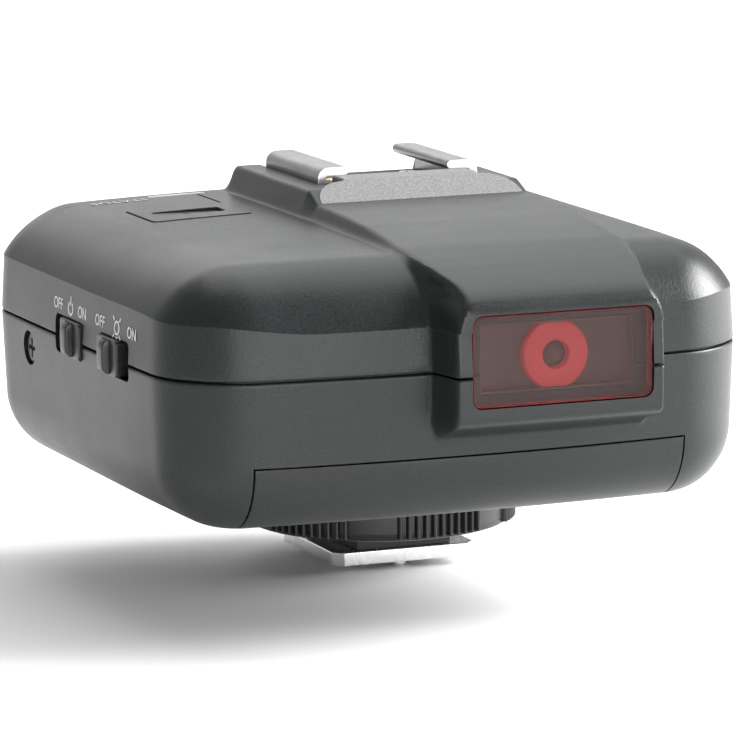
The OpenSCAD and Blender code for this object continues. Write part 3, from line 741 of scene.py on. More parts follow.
def bow(x, y, z, r):
    """Bows the walls and domes the shoulder"""
    s = shape()
    u, v = (x - CX) / 30.0, (y - CY) / 30.0
    front = np.clip((CY - y) / 36.0, 0, 1)
    back = np.clip((y - CY) / 36.0, 0, 1)
    yy = y + s.front_bow * np.minimum(u * u, 1.25) * front + 0.1 * np.minimum(u * u, 1.25) * back
    outward = np.sign(u) * np.clip(np.abs(u) * 30 / 36.0, 0, 1)
    xx = x - s.side_bow * np.minimum(v * v, 1.3) * outward * np.where(v < 0, 1.0, -0.1)
    lift = np.clip((z - 36.0) / (Z_TOP - 36.0), 0, 1)
    across = np.clip(1 - (x - CX) ** 2 / 900.0, 0, 1)
    along = np.clip(1 - np.minimum(y - CY - 8, 0) ** 2 / 1500.0, 0, 1)
    zz = z + s.dome * lift * across * along
    return xx, yy, zz


# Line of the ridge from the bezel's front up to the flat top, Y and Z
RIDGE_PATH = np.array([
    [-56.6, 35.9], [-56.6, 37.9], [-56.52, 38.45], [-56.25, 38.95], [-55.7, 39.5], [-54.7, 40.15], [-53.2, 40.85],
    [-51.2, 41.55], [-48.5, 42.3], [-45.5, 42.95], [-42.5, 43.5], [-41.0, 43.74],
])


def ridge_z(y):
    """Height of the ridge top behind the bezel"""
    arc = np.interp(y, [-41, -36, -30, -24, -19, -15.4], [43.74, 44.3, 44.85, 45.2, 45.37, 45.42])
    return np.where(y > -15.4, np.interp(y, [-15.4, -14.9, -12.6, -12.2, 30], [45.42, 45.6, 46.6, 46.75, 46.9]), arc)


def flank(t):
    """Side of the ridge: hollow at its foot, rounded at its top"""
    t = np.clip(t, 0, 1)
    return np.where(t < 0.5, 0.5 * (2 * t) ** 1.9, 1 - 0.5 * (2 * (1 - t)) ** 2.4)


def outer(x, y, z, r, kind, f):
    """Final place of a point of the outer skin

    kind is 0 on the top, 1 on the front crown, 2 on the front wall and 3 elsewhere;
    f runs from 0 at the crease to 1 at the flat top.
    """
    bx, by, bz = bow(x, y, z, r)
    ax = np.abs(x)
    half = shape().ridge_half
    if kind == 0:
        d = flank((half + 1.9 - ax) / 1.9)
        back = np.clip((15.2 - y) / 3.4, 0, 1)
        t = 1 - np.sqrt(np.clip(1 - (half + 1.9 - ax) / 1.9, 0, 9) ** 2 + (1 - back) ** 2)
        corner = flank(np.clip(t, 0, 1))
        w = np.where(y > 9, corner, d)
        return bx, by, bz + w * (ridge_z(y) - bz)
    if kind == 1:
        seg = np.hypot(*np.diff(RIDGE_PATH, axis=0).T)
        arc = np.concatenate([[0], np.cumsum(seg)]) / seg.sum()
        ry, rz = np.interp(f, arc, RIDGE_PATH[:, 0]), np.interp(f, arc, RIDGE_PATH[:, 1])
        edge = np.interp(f, [0, 0.08, 0.2, 0.32, 0.5, 0.75, 1.0], [12.7, 12.3, 11.0, 10.9, 11.7, 12.6, half])
        root = np.interp(f, [0, 0.12, 0.3, 0.6, 1.0], [14.3, 14.3, 14.5, 14.9, half + 1.9])
        w = flank((root - ax) / (root - edge))
        return bx, by + w * (ry - by), bz + w * (rz - bz)
    if kind == 2:
        tx = (14.3 - ax) / (14.3 - 12.7)
        tz = (z - 22.5) / 3.5
        rim = 1 - np.sqrt(np.clip(1 - tx, 0, 9) ** 2 + np.clip(1 - tz, 0, 9) ** 2)
        w = flank(np.clip(rim, 0, 1))
        target = BEZEL_Y + (RC - r)
        return bx, by + w * (target - by), bz
    return bx, by, bz


def x_lines():
    flankx = np.arange(10.8, 15.9, 0.16)
    middle, left = np.arange(-9.6, 10, 1.2), np.arange(-32, -16, 1.25)
    xs = np.concatenate([[KX0, KX1], flankx, -flankx, middle, left, [-16.5, 16.5, 17.4]])
    xs = np.unique(np.round(xs, 4))
    return xs[(xs >= KX0) & (xs <= KX1)]


def y_lines():
    step = [-15.7, -15.5, -15.4, -15.3, -15.1, -14.9, -14.2, -13.4, -12.6, -12.4, -12.2, -12.0]
    ys = [np.arange(-40, -16, 1.0), [KY0, KY1], step, np.arange(-11, 9, 1.0), np.arange(9, 11, 0.5)]
    ys = np.concatenate(ys)
    return np.unique(np.round(ys[(ys >= KY0) & (ys <= KY1)], 4))


def spokes():
    """Columns round the case: (base x, base y, direction x, direction y, on the front edge)"""
    cols = []
    xs, ys = x_lines(), y_lines()
    arc = np.radians(np.linspace(0, 90, 17))[1:-1]
    cols += [(x, KY0, 0.0, -1.0, 1) for x in xs]
    cols += [(KX1, KY0, math.sin(a), -math.cos(a), 0) for a in arc]
    cols += [(KX1, y, 1.0, 0.0, 0) for y in ys]
    cols += [(KX1, KY1, math.cos(a), math.sin(a), 0) for a in arc]
    cols += [(x, KY1, 0.0, 1.0, 2) for x in xs[::-1]]
    cols += [(KX0, KY1, -math.sin(a), math.cos(a), 0) for a in arc]
    cols += [(KX0, y, -1.0, 0.0, 0) for y in ys[::-1]]
    cols += [(KX0, KY0, -math.cos(a), -math.sin(a), 0) for a in arc]
    cols.append(cols[0])
    return cols


def crown_share(r, dy):
    """Share of the crown's height left at distance r out from the core; the crown runs on level towards the rear"""
    h = Z_TOP - 36.5
    big = (11.5**2 + h * h) / (2 * h)
    level = 2.8 * max(dy, 0.0) ** 2
    rr = min(max(r - level, 0.0) / (RT - level), 1.0) * 11.5
    return (math.sqrt(max(big * big - rr * rr, 0.0)) - (big - h)) / h


def crown_row(r, cols, inset=0.0):
    """Points on the crown at distance r out from the core"""
    pts = []
    for bx, by, dx, dy, tag in cols:
        x, y = bx + dx * r, by + dy * r
        zc = float(crease_z(x, y))
        pts.append((x, y, zc + (Z_TOP - zc) * crown_share(r, dy) - inset))
    return np.array(pts)


def skin_row(base, r, cols, kinds, f):
    """Passes one row of base points through the outer shape"""
    out = np.empty_like(base)
    tags = np.array([c[4] for c in cols])
    for tag, kind in kinds.items():
        m = tags == tag
        out[m] = np.stack(outer(base[m, 0], base[m, 1], base[m, 2], r, kind, f), -1)
    return out


def flat_row(r, z, cols):
    return np.array([(bx + dx * r, by + dy * r, z) for bx, by, dx, dy, _ in cols])


def inner_rows(pairs, cols):
    rows = []
    for r, z in pairs:
        p = flat_row(r, z, cols)
        rows.append(np.stack(bow(p[:, 0], p[:, 1], p[:, 2], r), -1))
    return rows


def core(z, fn):
    gx, gy = np.meshgrid(x_lines(), y_lines())
    return np.stack(fn(gx, gy, np.full_like(gx, z)), -1)


def upper_solid(name="upper_case_skin"):
    cols = spokes()
    s = shape().seam_round
    rows = []
    n = 30
    for i in range(n + 1):
        t = i / n
        p = crown_row(RT * t, cols)
        rows.append(skin_row(p, RT * t, cols, {0: 3, 1: 1 if i else 0, 2: 0}, 1 - t))
    zpart = Z_PART + SEAM
    base = rows[-1]
    crease = np.array([float(crease_z(c[0] + c[2] * RT, c[1] + c[3] * RT)) for c in cols])
    for k in (0.02, 0.06, 0.15, 0.3, 0.45, 0.6, 0.75, 0.88, 1.0):
        r = RT + (RC - RT) * k
        p = flat_row(r, 0, cols)
        p[:, 2] = crease + (zpart + s - crease) * k
        rows.append(skin_row(p, r, cols, {0: 3, 1: 2, 2: 3}, 0))
    for a in (30, 60, 90):
        r = RC - s + s * math.cos(math.radians(a))
        p = flat_row(r, zpart + s - s * math.sin(math.radians(a)), cols)
        rows.append(skin_row(p, r, cols, {0: 3, 1: 2, 2: 3}, 0))
    rows += inner_rows([(RC - 0.9, zpart), (RC - 0.9, zpart + 1.3), (RC - WALL, zpart + 1.3), (RC - WALL, 35.0)], cols)
    for r in np.linspace(RC - WALL, 0, 12)[1:]:
        p = crown_row(r, cols, WALL)
        p[:, 2] = np.minimum(p[:, 2], Z_TOP - WALL)
        rows.append(np.stack(bow(p[:, 0], p[:, 1], p[:, 2], r), -1))
    top = core(Z_TOP, lambda x, y, z: outer(x, y, z, 0, 0, 1))
    under = core(Z_TOP - WALL, lambda x, y, z: bow(x, y, z, 0))
    return solid_of(name, [rows, top, under], "case")


def lower_solid(name="lower_case_skin"):
    cols = spokes()
    s = shape().seam_round
    zpart = Z_PART - SEAM
    rows = inner_rows([(0, Z_BOTTOM + WALL), (RC - R_BOTTOM, Z_BOTTOM + WALL)], cols)
    rb, rc = R_BOTTOM, RC - R_BOTTOM
    bend = [(math.sin(a), math.cos(a)) for a in np.radians(np.linspace(8, 90, 9))]
    rows += inner_rows([(rc + (rb - WALL) * sin, Z_BOTTOM + rb - (rb - WALL) * cos) for sin, cos in bend], cols)
    rows += inner_rows([(RC - WALL, zpart + 1), (RC - 1.0, zpart + 1), (RC - 1.0, zpart)], cols)
    for a in (90, 60, 30, 0):
        r = RC - s + s * math.cos(math.radians(a))
        p = flat_row(r, zpart - s + s * math.sin(math.radians(a)), cols)
        rows.append(skin_row(p, r, cols, {0: 3, 1: 2, 2: 3}, 0))
    heights = [[30.1, 29.4], np.arange(28.5, 26.6, -0.6), np.arange(26.4, 22.2, -0.3), [22.0, 21.5, Z_BOTTOM + rb]]
    for z in np.concatenate(heights):
        r = RC - (RC - RL) * (zpart - s - z) / (zpart - s - Z_BOTTOM - rb)
        rows.append(skin_row(flat_row(r, z, cols), r, cols, {0: 3, 1: 2, 2: 3}, 0))
    bend = [(math.sin(a), math.cos(a)) for a in np.radians(np.linspace(90, 0, 19))[1:]]
    rows += inner_rows([(RL - rb + rb * sin, Z_BOTTOM + rb - rb * cos) for sin, cos in bend], cols)
    rows += inner_rows([(0, Z_BOTTOM)], cols)
    lo = core(Z_BOTTOM, lambda x, y, z: bow(x, y, z, 0))
    hi = core(Z_BOTTOM + WALL, lambda x, y, z: bow(x, y, z, 0))
    return solid_of(name, [rows, lo, hi], "case")


def shared_cutters():
    """Tools for the openings that cross the parting line"""
    tools = [
        prism(grown(WINDOW, 0, 1.2), BEZEL_Y - 1, BEZEL_Y + 1.75, "Y"),
        prism(grown(PANEL, 0.5, 2.0), 18.5, 23, "Y"),
    ]
    tools += [prism(rounded(y - 4.8, y + 4.8, 28.8, 33.4, 0.8), XL - 1, XL + 3, "X") for y in (-12.1, -27.6)]
    return tools


def lamp_well():
    """Tool for the well behind the lamp window"""
    return prism(grown(LAMP_BOX, 0, 0.6), BEZEL_Y + 1, -47, "Y")


def top_z(x, y):
    """Height of the crown at a place on the top, in millimetres"""
    dx, dy = max(KX0 - x, x - KX1, 0), max(KY0 - y, y - KY1, 0)
    r = math.hypot(dx, dy)
    share = crown_share(r, max(y - KY1, 0) / r if r else 0.0)
    zc = float(crease_z(np.array(x), np.array(y)))
    return float(bow(np.array(x), np.array(y), np.array(zc + (Z_TOP - zc) * share), r)[2])


def wrap_side(o, y, z):
    """Lays a flat mark onto the left wall"""
    for v in o.data.vertices:
        u, w, d = v.co.x / MM, v.co.y / MM, v.co.z / MM
        py, pz = y - u, z + w
        wall_x = XL + (RC - RT) * (pz - Z_PART) / 6.5
        bx = float(bow(np.array(wall_x), np.array(py), np.array(pz), RC)[0])
        round_off = RC - math.sqrt(max(0.0, RC**2 - (KY0 - py) ** 2)) if py < KY0 else 0.0
        v.co = Vector((bx + round_off - 0.04 - d, py, pz)) * MM
    o.data.update()
    bm = bmesh.new()
    bm.from_mesh(o.data)
    bmesh.ops.recalc_face_normals(bm, faces=bm.faces)
    bm.to_mesh(o.data)
    bm.free()
    return place(o, "case", slot="body")


def roll(o, width):
    """Rounds the sharp rims left by cutting"""
    m = o.modifiers.new("weld", "WELD")
    m.merge_threshold = 0.002 * MM
    b = o.modifiers.new("rims", "BEVEL")
    b.width = width * MM
    b.segments = 2
    b.limit_method = "ANGLE"
    b.angle_limit = math.radians(45)
    b.use_clamp_overlap = True
    b.harden_normals = False
    b.miter_outer = "MITER_ARC"
    apply_modifiers(o)
    return smooth(o, 35)


# ---------- the pieces ----------


class TRIGGER_OT_case(bpy.types.Operator):
    """Build the two halves of the case with their openings"""

    bl_idname = "trigger.case"
    bl_label = "Case"

    def execute(self, context):
        up = upper_solid()
        shoe_bed = prism([(-10.55, -7.4), (10.55, -7.4), (10.55, 14.5), (-10.55, 14.5)], 44.3, 50)
        key_hole = prism(grown(TEST, GAP, 0.7), 38, 46)
        light_hole = prism(grown(STATUS_BAR, 0.1, 0.4), 38, 46)
        cut(up, *shared_cutters(), shoe_bed, key_hole, light_hole)
        cut(up, lamp_well())
        cut(up, bar(-19.02, -18.7, TEST[3] - 0.5, 17.5, 42.2, 46, 0))
        smooth(up, 32)
        place(up, "case", "upper_case", slot="body")
        low = lower_solid()
        cut(
            low,
            *shared_cutters(),
            prism(rounded(DOOR[0] - GAP, DOOR[1] + GAP, -70, DOOR[2] + GAP, 0.6), 5, DOOR[3] + GAP),
            prism(circle(0, 0, 8.3), 5, 20),
            prism(circle(*SIDE_SCREW, 2.1, 40), XL - 1, XL + 1.1, "X"),
            prism(circle(*SIDE_SCREW, 1.05, 24), XL + 0.9, XL + 4, "X"),
            prism(circle(*JACK, 2.6, 40), XR - 4, XR + 1, "X"),
            prism(grown(USB, 0.1, 0.5), XR - 4, XR + 1, "X"),
            *[prism(circle(px, py, 2.1, 32), 5, Z_BOTTOM + 3) for px, py in POSTS],
        )
        cut(low, lamp_well())
        smooth(low, 32)
        place(low, "case", "lower_case", slot="body")
        return {"FINISHED"}


class TRIGGER_OT_door(bpy.types.Operator):
    """Build the sliding battery door with its thumb grooves"""

    bl_idname = "trigger.door"
    bl_label = "Battery Door"

    def execute(self, context):
        left, right, rear, top = DOOR
        o = lower_solid("battery_door_skin")
        cut(o, prism(rounded(left, right, -70, rear, 0.45), 5, top), op="INTERSECT")
        grooves = [rounded(-16, 0.5, -30 + i * 1.6, -29.3 + i * 1.6, 0.3, 3) for i in range(6)]
        cut(o, *[prism(line, 12, Z_BOTTOM + 0.35) for line in grooves])
        roll(o, 0.14)
        place(o, "door", "battery_door", slot="body")
        tongues = [bar(x, x + 1.1, -42.8, rear, 14.05, 14.85, 0.08) for x in (left - 1, right - 0.1)]
        tongues += [bar(x, x + 2, -42.4, rear - 0.1, Z_BOTTOM + 1, 14.8, 0.08) for x in (left + 0.05, right - 2.05)]
        add("battery_door_tongues", merge(*tongues), "case", body="door")
        return {"FINISHED"}


class TRIGGER_OT_test_key(bpy.types.Operator):
    """Build the test button with its recess and pulse mark, and the status light beside it"""

    bl_idname = "trigger.test_key"
    bl_label = "Test Button"

    def execute(self, context):
        x, y = (TEST[0] + TEST[1]) / 2, (TEST[2] + TEST[3]) / 2
        top = top_z(x, y)
        o = upper_solid("test_button_cap")
        cut(o, prism(grown(TEST, 0, 0.5), 41.1, 46), op="INTERSECT")
        o.data.transform(Matrix.Translation((0, 0, 0.1 * MM)))
        cut(o, prism(rounded(x - 4.3, x + 4.3, y - 1.75, y + 1.75, 0.6), top - 0.15, 46))
        roll(o, 0.16)
        place(o, "test_key", "test_button", slot="body")
        skirt = merge(
            prism(grown(TEST, 1, 0.8), 39.8, 40.85, bevel=0.15),
            prism(grown(TEST, -0.3, 0.5), 40.7, 41.3),
            lathe([(0, 38.4), (1.8, 38.4), (2, 38.6), (2, 39.9), (0, 39.9)], (x, y)),
        )
        add("test_button_skirt", skirt, "inner", body="test_key")
        pulse = [(-3.2, -0.9), (-1.7, -0.9), (-0.6, 0.9), (0.6, -0.9), (1.7, 0.9), (3.2, 0.9)]
        mark = merge(*[stroke(*a, *b, 0.13) for a, b in zip(pulse, pulse[1:])])
        add("test_button_mark", mark, "knob", body="test_key", turn=Matrix.Translation((x, y, top - 0.13)))
        o = upper_solid("status_light_bar")
        cut(o, prism(grown(STATUS_BAR, 0, 0.35), 38, 46), op="INTERSECT")
        roll(o, 0.1)
        place(o, "case", "status_lamp", slot="light_pipe")
        o.data.materials[0] = MATS["pipe"]
        return {"FINISHED"}


class TRIGGER_OT_lamp(bpy.types.Operator):
    """Build the lamp window with the ring light behind it"""

    bl_idname = "trigger.lamp"
    bl_label = "Lamp"

    def execute(self, context):
        glass = prism(grown(WINDOW, -0.12, 1.1, 8), BEZEL_Y + 0.18, BEZEL_Y + 1.68, "Y", 0.22, 3)
        o = finish_bm("lamp_window_glass", glass, "lamp", "lamp_edge")
        for p in o.data.polygons:
            if abs(p.normal.y) < 0.9:
                p.material_index = 1
        smooth(o, 30)
        place(o, "case", "lamp_window", slot="lamp_glass")
        prof = [
            (1.6, -53.1), (4.0, -53.1), (4.06, -53.2), (4.06, -54.0), (3.9, -54.25), (3.6, -54.32), (2.0, -54.32),
            (1.7, -54.25), (1.56, -54.0), (1.56, -53.2), (1.6, -53.1),
        ]
        add("lamp_ring_lens", lathe(prof, LAMP, "Y", 72), "red", "lamp_ring", slot="lamp_red", angle=35)
        prof = [
            (0, -54.0), (0.5, -53.93), (0.95, -53.7), (1.3, -53.3), (1.45, -52.9), (1.5, -52.4), (1.5, -51.7),
            (1.9, -51.5), (1.9, -50.8), (0, -50.8),
        ]
        leg = [(0, -50.9), (0.25, -50.9), (0.25, -48.6), (0, -48.6)]
        bulb = merge(lathe(prof, LAMP, "Y", 40), *[lathe(leg, (x, LAMP[1]), "Y", 12) for x in (-0.7, 0.7)])
        add("lamp_bulb", bulb, "chamber", "lamp_led", slot="lamp_red", angle=35)
        rim = [bar(x - 0.15, x + 0.15, -54.7, -53.0, 28.5, 36.5, 0.08) for x in (-9.47, 9.47)]
        rim += [bar(-9.5, 9.5, -54.7, -53.0, z - 0.15, z + 0.15, 0.08) for z in (28.63, 36.37)]
        add("lamp_back_rim", merge(*rim), "chamber", slot="insulator")
        o = finish_bm("lamp_back_plate", prism(grown(LAMP_BOX, -0.08, 0.5), -53.1, -51.7, "Y", 0.15), "chamber")
        cut(o, prism(circle(*LAMP, 1.55), -54, -51, "Y"))
        smooth(o, 35)
        place(o, "case", "lamp_holder", slot="insulator")
        return {"FINISHED"}


class TRIGGER_OT_shoe(bpy.types.Operator):
    """Build the accessory shoe: rails, stop, screws and contacts"""

    bl_idname = "trigger.shoe"
    bl_label = "Accessory Shoe"

    def rails(self):
        """Channel with folded lips, drawn as its right half"""
        half = [(0, 44.42), (10.1, 44.42), (10.4, 44.7), (10.4, 47.3)]
        half += [(9.0 + 1.4 * math.cos(a), 47.3 + 1.4 * math.sin(a)) for a in np.radians(np.linspace(10, 90, 9))]
        half += [(7.0 + 0.58 * math.cos(a), 48.1 + 0.6 * math.sin(a)) for a in np.radians(np.linspace(90, 270, 11))]
        half += [(9.1, 47.5), (9.3, 47.42), (9.4, 47.2), (9.4, 45.3), (9.1, 45.0), (0, 45.0)]
        line = half[1:-1] + [(-x, z) for x, z in half[1:-1][::-1]]
        o = finish_bm("shoe_rail_channel", prism(line, -7.3, 10.3, "Y", 0.16), "rail", "rail_cut")
        # Faces looking along Y, the rail ends, get the brighter rail metal: a painted highlight
        for p in o.data.polygons:
            p.material_index = 1 if abs(p.normal.y) > 0.4 else 0
        smooth(o, 30)
        place(o, "case", "shoe_rails", slot="rail")

    def stop(self):
        """Stop at the front of the channel, as rows of (Y, Z, half width)"""
        prof = [(-15.45, 45.32, 13.1)]
        for t in np.linspace(0.06, 1, 14):
            prof.append((-15.4 + 4.15 * t, 45.4 + 2.15 * t, 8.75 + 4.35 * math.sqrt(max(0, 1 - t**2.2))))
        prof += [(-11.0, 47.66, 8.6), (-10.6, 47.7, 8.6), (-7.75, 47.7, 8.6), (-7.52, 47.62, 8.6), (-7.45, 47.4, 8.6)]
        floor, drop, inset = 44.7, 0.18, 0.15
        u = np.linspace(-1, 1, 31)
        rows, low = [], []
        for y, z, h in prof:
            across = [(x * (h - inset), y, z) for x in u]
            rows.append([(-h, y, floor), (-h, y, z - drop)] + across + [(h, y, z - drop), (h, y, floor)])
            low.append([(p[0], p[1], floor) for p in rows[-1]])
        o = solid_of("shoe_front_stop", [[low[0]] + rows + [low[-1]], low], "stop")
        smooth(o, 28)
        place(o, "case", slot="body")

    def execute(self, context):
        self.rails()
        self.stop()
        screws("shoe_screw_heads", [(x, y, 45.26) for x, y in SHOE_SCREWS], 1.4, 0.42, 1, "bright_screw", "shoe_screws")
        small = [(0, 40.2), (0.8, 40.2), (0.8, 45.0), (1.0, 45.02), (1.0, 45.4), (0.9, 45.5), (0, 45.5)]
        large = [(0, 40.2), (1.1, 40.2), (1.1, 45.0), (1.8, 45.02), (1.8, 45.4), (1.65, 45.52), (0, 45.52)]
        pads = [lathe(small, (x, y + 1.5), "Z", 32) for x in (-3.6, 3.6) for y in (-3.2, 3.2)]
        pads.append(lathe(large, (0, 1.5), "Z", 48))
        add("shoe_contact_pads", merge(*pads), "gold", "shoe_contacts", slot="contact", angle=35)
        return {"FINISHED"}


def finger_fin(y):
    """Thumb piece of a slide switch, waisted at its ends, from its section of (Y, X) points"""
    prof = [
        (-0.98, 0.5), (-0.98, -0.9), (-0.93, -1.08), (-0.8, -1.2), (-0.3, -1.24), (0.3, -1.24), (0.8, -1.2),
        (0.93, -1.08), (0.98, -0.9), (0.98, 0.5),
    ]
    foot = 0.32
    bm = bmesh.new()
    rings = []
    for k in np.linspace(-1, 1, 17):
        swell = 0.35 + 0.65 * max(0.0, 1 - abs(k) ** 5)
        depth = [XL - foot + (px + foot) * swell if px < 0 else XL + px for _, px in prof]
        rings.append([bm.verts.new((x, y + py, SWITCH_Z + 1.98 * k)) for x, (py, _) in zip(depth, prof)])
    for a, b in zip(rings, rings[1:]):
        for i in range(len(prof)):
            j = (i + 1) % len(prof)
            bm.faces.new((a[i], a[j], b[j], b[i]))
    bm.faces.new(rings[0])
    bm.faces.new(rings[-1][::-1])
    bmesh.ops.recalc_face_normals(bm, faces=bm.faces)
    return bm


class TRIGGER_OT_switches(bpy.types.Operator):
    """Build the two slide switches with their printed marks"""

    bl_idname = "trigger.switches"
    bl_label = "Slide Switches"

    def execute(self, context):
        x0, z = XL + WALL, SWITCH_Z
        for body, y in (("power_switch", -13.3), ("lamp_switch", -26.4)):
            node = body + "_knob"
            base = prism(rounded(y - 6.4, y + 6.4, z - 3.1, z + 3.1, 0.6), x0 + 0.06, x0 + 0.7, "X", 0.1)
            block = prism(rounded(y - 3.4, y + 3.4, z - 2.18, z + 2.18, 0.5), XL - 0.35, x0 + 0.1, "X", 0.22, 3)
            tail = bar(x0 + 0.6, x0 + 2.2, y - 1, y + 1, z - 1, z + 1, 0.1)
            knob = merge(base, block, finger_fin(y), tail)
            add(node + "_cap", knob, "knob", node, body=body, slot="knob", angle=32)
        marks = (("off_one", "OFF", -8.2), ("on_one", "ON", -16.7), ("off_two", "OFF", -22.9), ("on_two", "ON", -33.3))
        for name, text, y in marks:
            wrap_side(words("mark_" + name, text, 1.95, "label", Matrix.Identity(4), width=0.92), y, 34.55)
        power = [ring_sheet(0.66, 0.9, 128, 412, 24), stroke(0, 0.3, 0, 1.4, 0.24)]
        rays = [(math.cos(a), math.sin(a)) for a in np.radians([45, 135, 225, 315])]
        lit = [ring_sheet(0.62, 0.84, 0, 360, 24)]
        lit += [stroke(c * 1.15, s * 1.15, c * 1.75, s * 1.75, 0.22) for c, s in rays]
        lit += [stroke(-0.35, -1.12, 0.35, -1.12, 0.2)]
        for name, y, bits in (("power_symbol", -12.6, power), ("lamp_symbol", -28.5, lit)):
            wrap_side(finish_bm("mark_" + name, merge(*bits), "label"), y, 34.6)
        return {"FINISHED"}


class TRIGGER_OT_rear(bpy.types.Operator):
    """Build the rear panel: display, keys and select dial"""

    bl_idname = "trigger.rear"
    bl_label = "Rear Panel"

    def display(self):
        cover = prism(grown(LCD, -0.1, 0.9), YR - 0.44, YR + 0.34, "Y", 0.12)
        add("display_cover", cover, "lcd_glass", "display_window", slot="display_glass", angle=30)
        cell = prism(rounded(LCD[0] - 1.2, LCD[1] + 1.2, LCD[2] - 1, LCD[3] + 1, 0.3), 15.6, YR - 2.0, "Y", 0.1)
        add("display_cell", cell, "lcd", "display_panel", slot="display", angle=30)
        y = YR - 1.97
        for name, text, height, x, z in (
            ("channel_word", "CH", 2.6, 11.5, 29.6),
            ("channel_digits", "01", 5.4, 4.8, 28.6),
            ("group_word", "GROUP", 2.2, -3.6, 30.0),
            ("group_letter", "A", 5.0, -3.6, 26.4),
            ("level_digits", "1/1", 5.0, 8.0, 22.9),
        ):
            place(words("display_" + name, text, height, "lcd_ink", from_behind(x, y, z)), "case", slot="display")
        bars = [bar(-6.6 + i * 1.3, -5.6 + i * 1.3, y - 0.02, y + 0.03, 21.4, 21.9 + i * 0.5, 0) for i in range(5)]
        add("display_level_bars", merge(*bars), "lcd_ink", slot="display")

    def keys(self):
        prof = [
            (0, 18.3), (2.6, 18.3), (2.6, 19.0), (2.12, 19.0), (2.12, 22.2), (2.02, 22.42), (1.8, 22.55), (1.2, 22.5),
            (0.6, 22.4), (0, 22.36),
        ]
        keys = [("mode", "MODE", KEY_Z[2]), ("group", "GR", KEY_Z[1]), ("channel", "CH", KEY_Z[0])]
        for name, _, z in keys:
            cap = lathe(prof, (KEY_X, z), "Y", 48)
            add(name + "_button_cap", cap, "key", name + "_button", body=name + "_key", slot="key", angle=35)
        for name, text, z in keys:
            mark = words("mark_" + name, text, 1.05, "label", from_behind(-11.7, YR + 0.42, z), width=0.9)
            place(mark, "case", slot="panel")

    def dial(self):
        prof = [
            (3.0, 0.92), (7.6, 0.9), (7.75, 1.0), (7.75, 4.35), (7.5, 4.75), (7.1, 5.0), (6.7, 5.08), (6.15, 5.05),
            (6.0, 4.85), (0.0, 4.8),
        ]
        base = lathe([(r, YR + h) for r, h in prof], DIAL, "Y", 96)
        hub = lathe([(0, YR + 4.2), (2.99, YR + 4.2), (3.0, YR + 0.92)], DIAL, "Y", 48)
        count = shape().flute_count
        centre = (DIAL[0], YR + 2.72, DIAL[1])
        rib, step = (0.62, 0.42), 360 / count
        o = ribs_round("select_dial_cap", merge(base, hub), "knob", centre, "Y", 7.72, 3.3, rib, count, step=step)
        smooth(o, 32)
        place(o, "dial", "select_dial", slot="knob")
        turn = from_behind(DIAL[0], YR + 4.82, DIAL[1])
        add("dial_mark", stroke(0, 3.4, 0, 4.6, 0.3), "label", body="dial", slot="knob", turn=turn)

    def execute(self, context):
        o = finish_bm("rear_panel_plate", prism(grown(PANEL, 0, 1.8), YR - 1.9, YR + 0.4, "Y", 0.3, 3), "panel")
        cut(o, prism(grown(LCD, 0, 1.0), YR - 0.5, YR + 2, "Y"))
        through = [prism(circle(*DIAL, 3.4), YR - 4, YR + 1, "Y")]
        through += [prism(circle(KEY_X, z, 2.25), YR - 4, YR + 1, "Y") for z in KEY_Z]
        cut(o, prism(grown(LCD, -1.2, 0.4), YR - 4, YR - 0.45, "Y"), *through)
        smooth(o, 30)
        place(o, "case", "rear_panel", slot="panel")
        self.display()
        self.keys()
        self.dial()
        return {"FINISHED"}


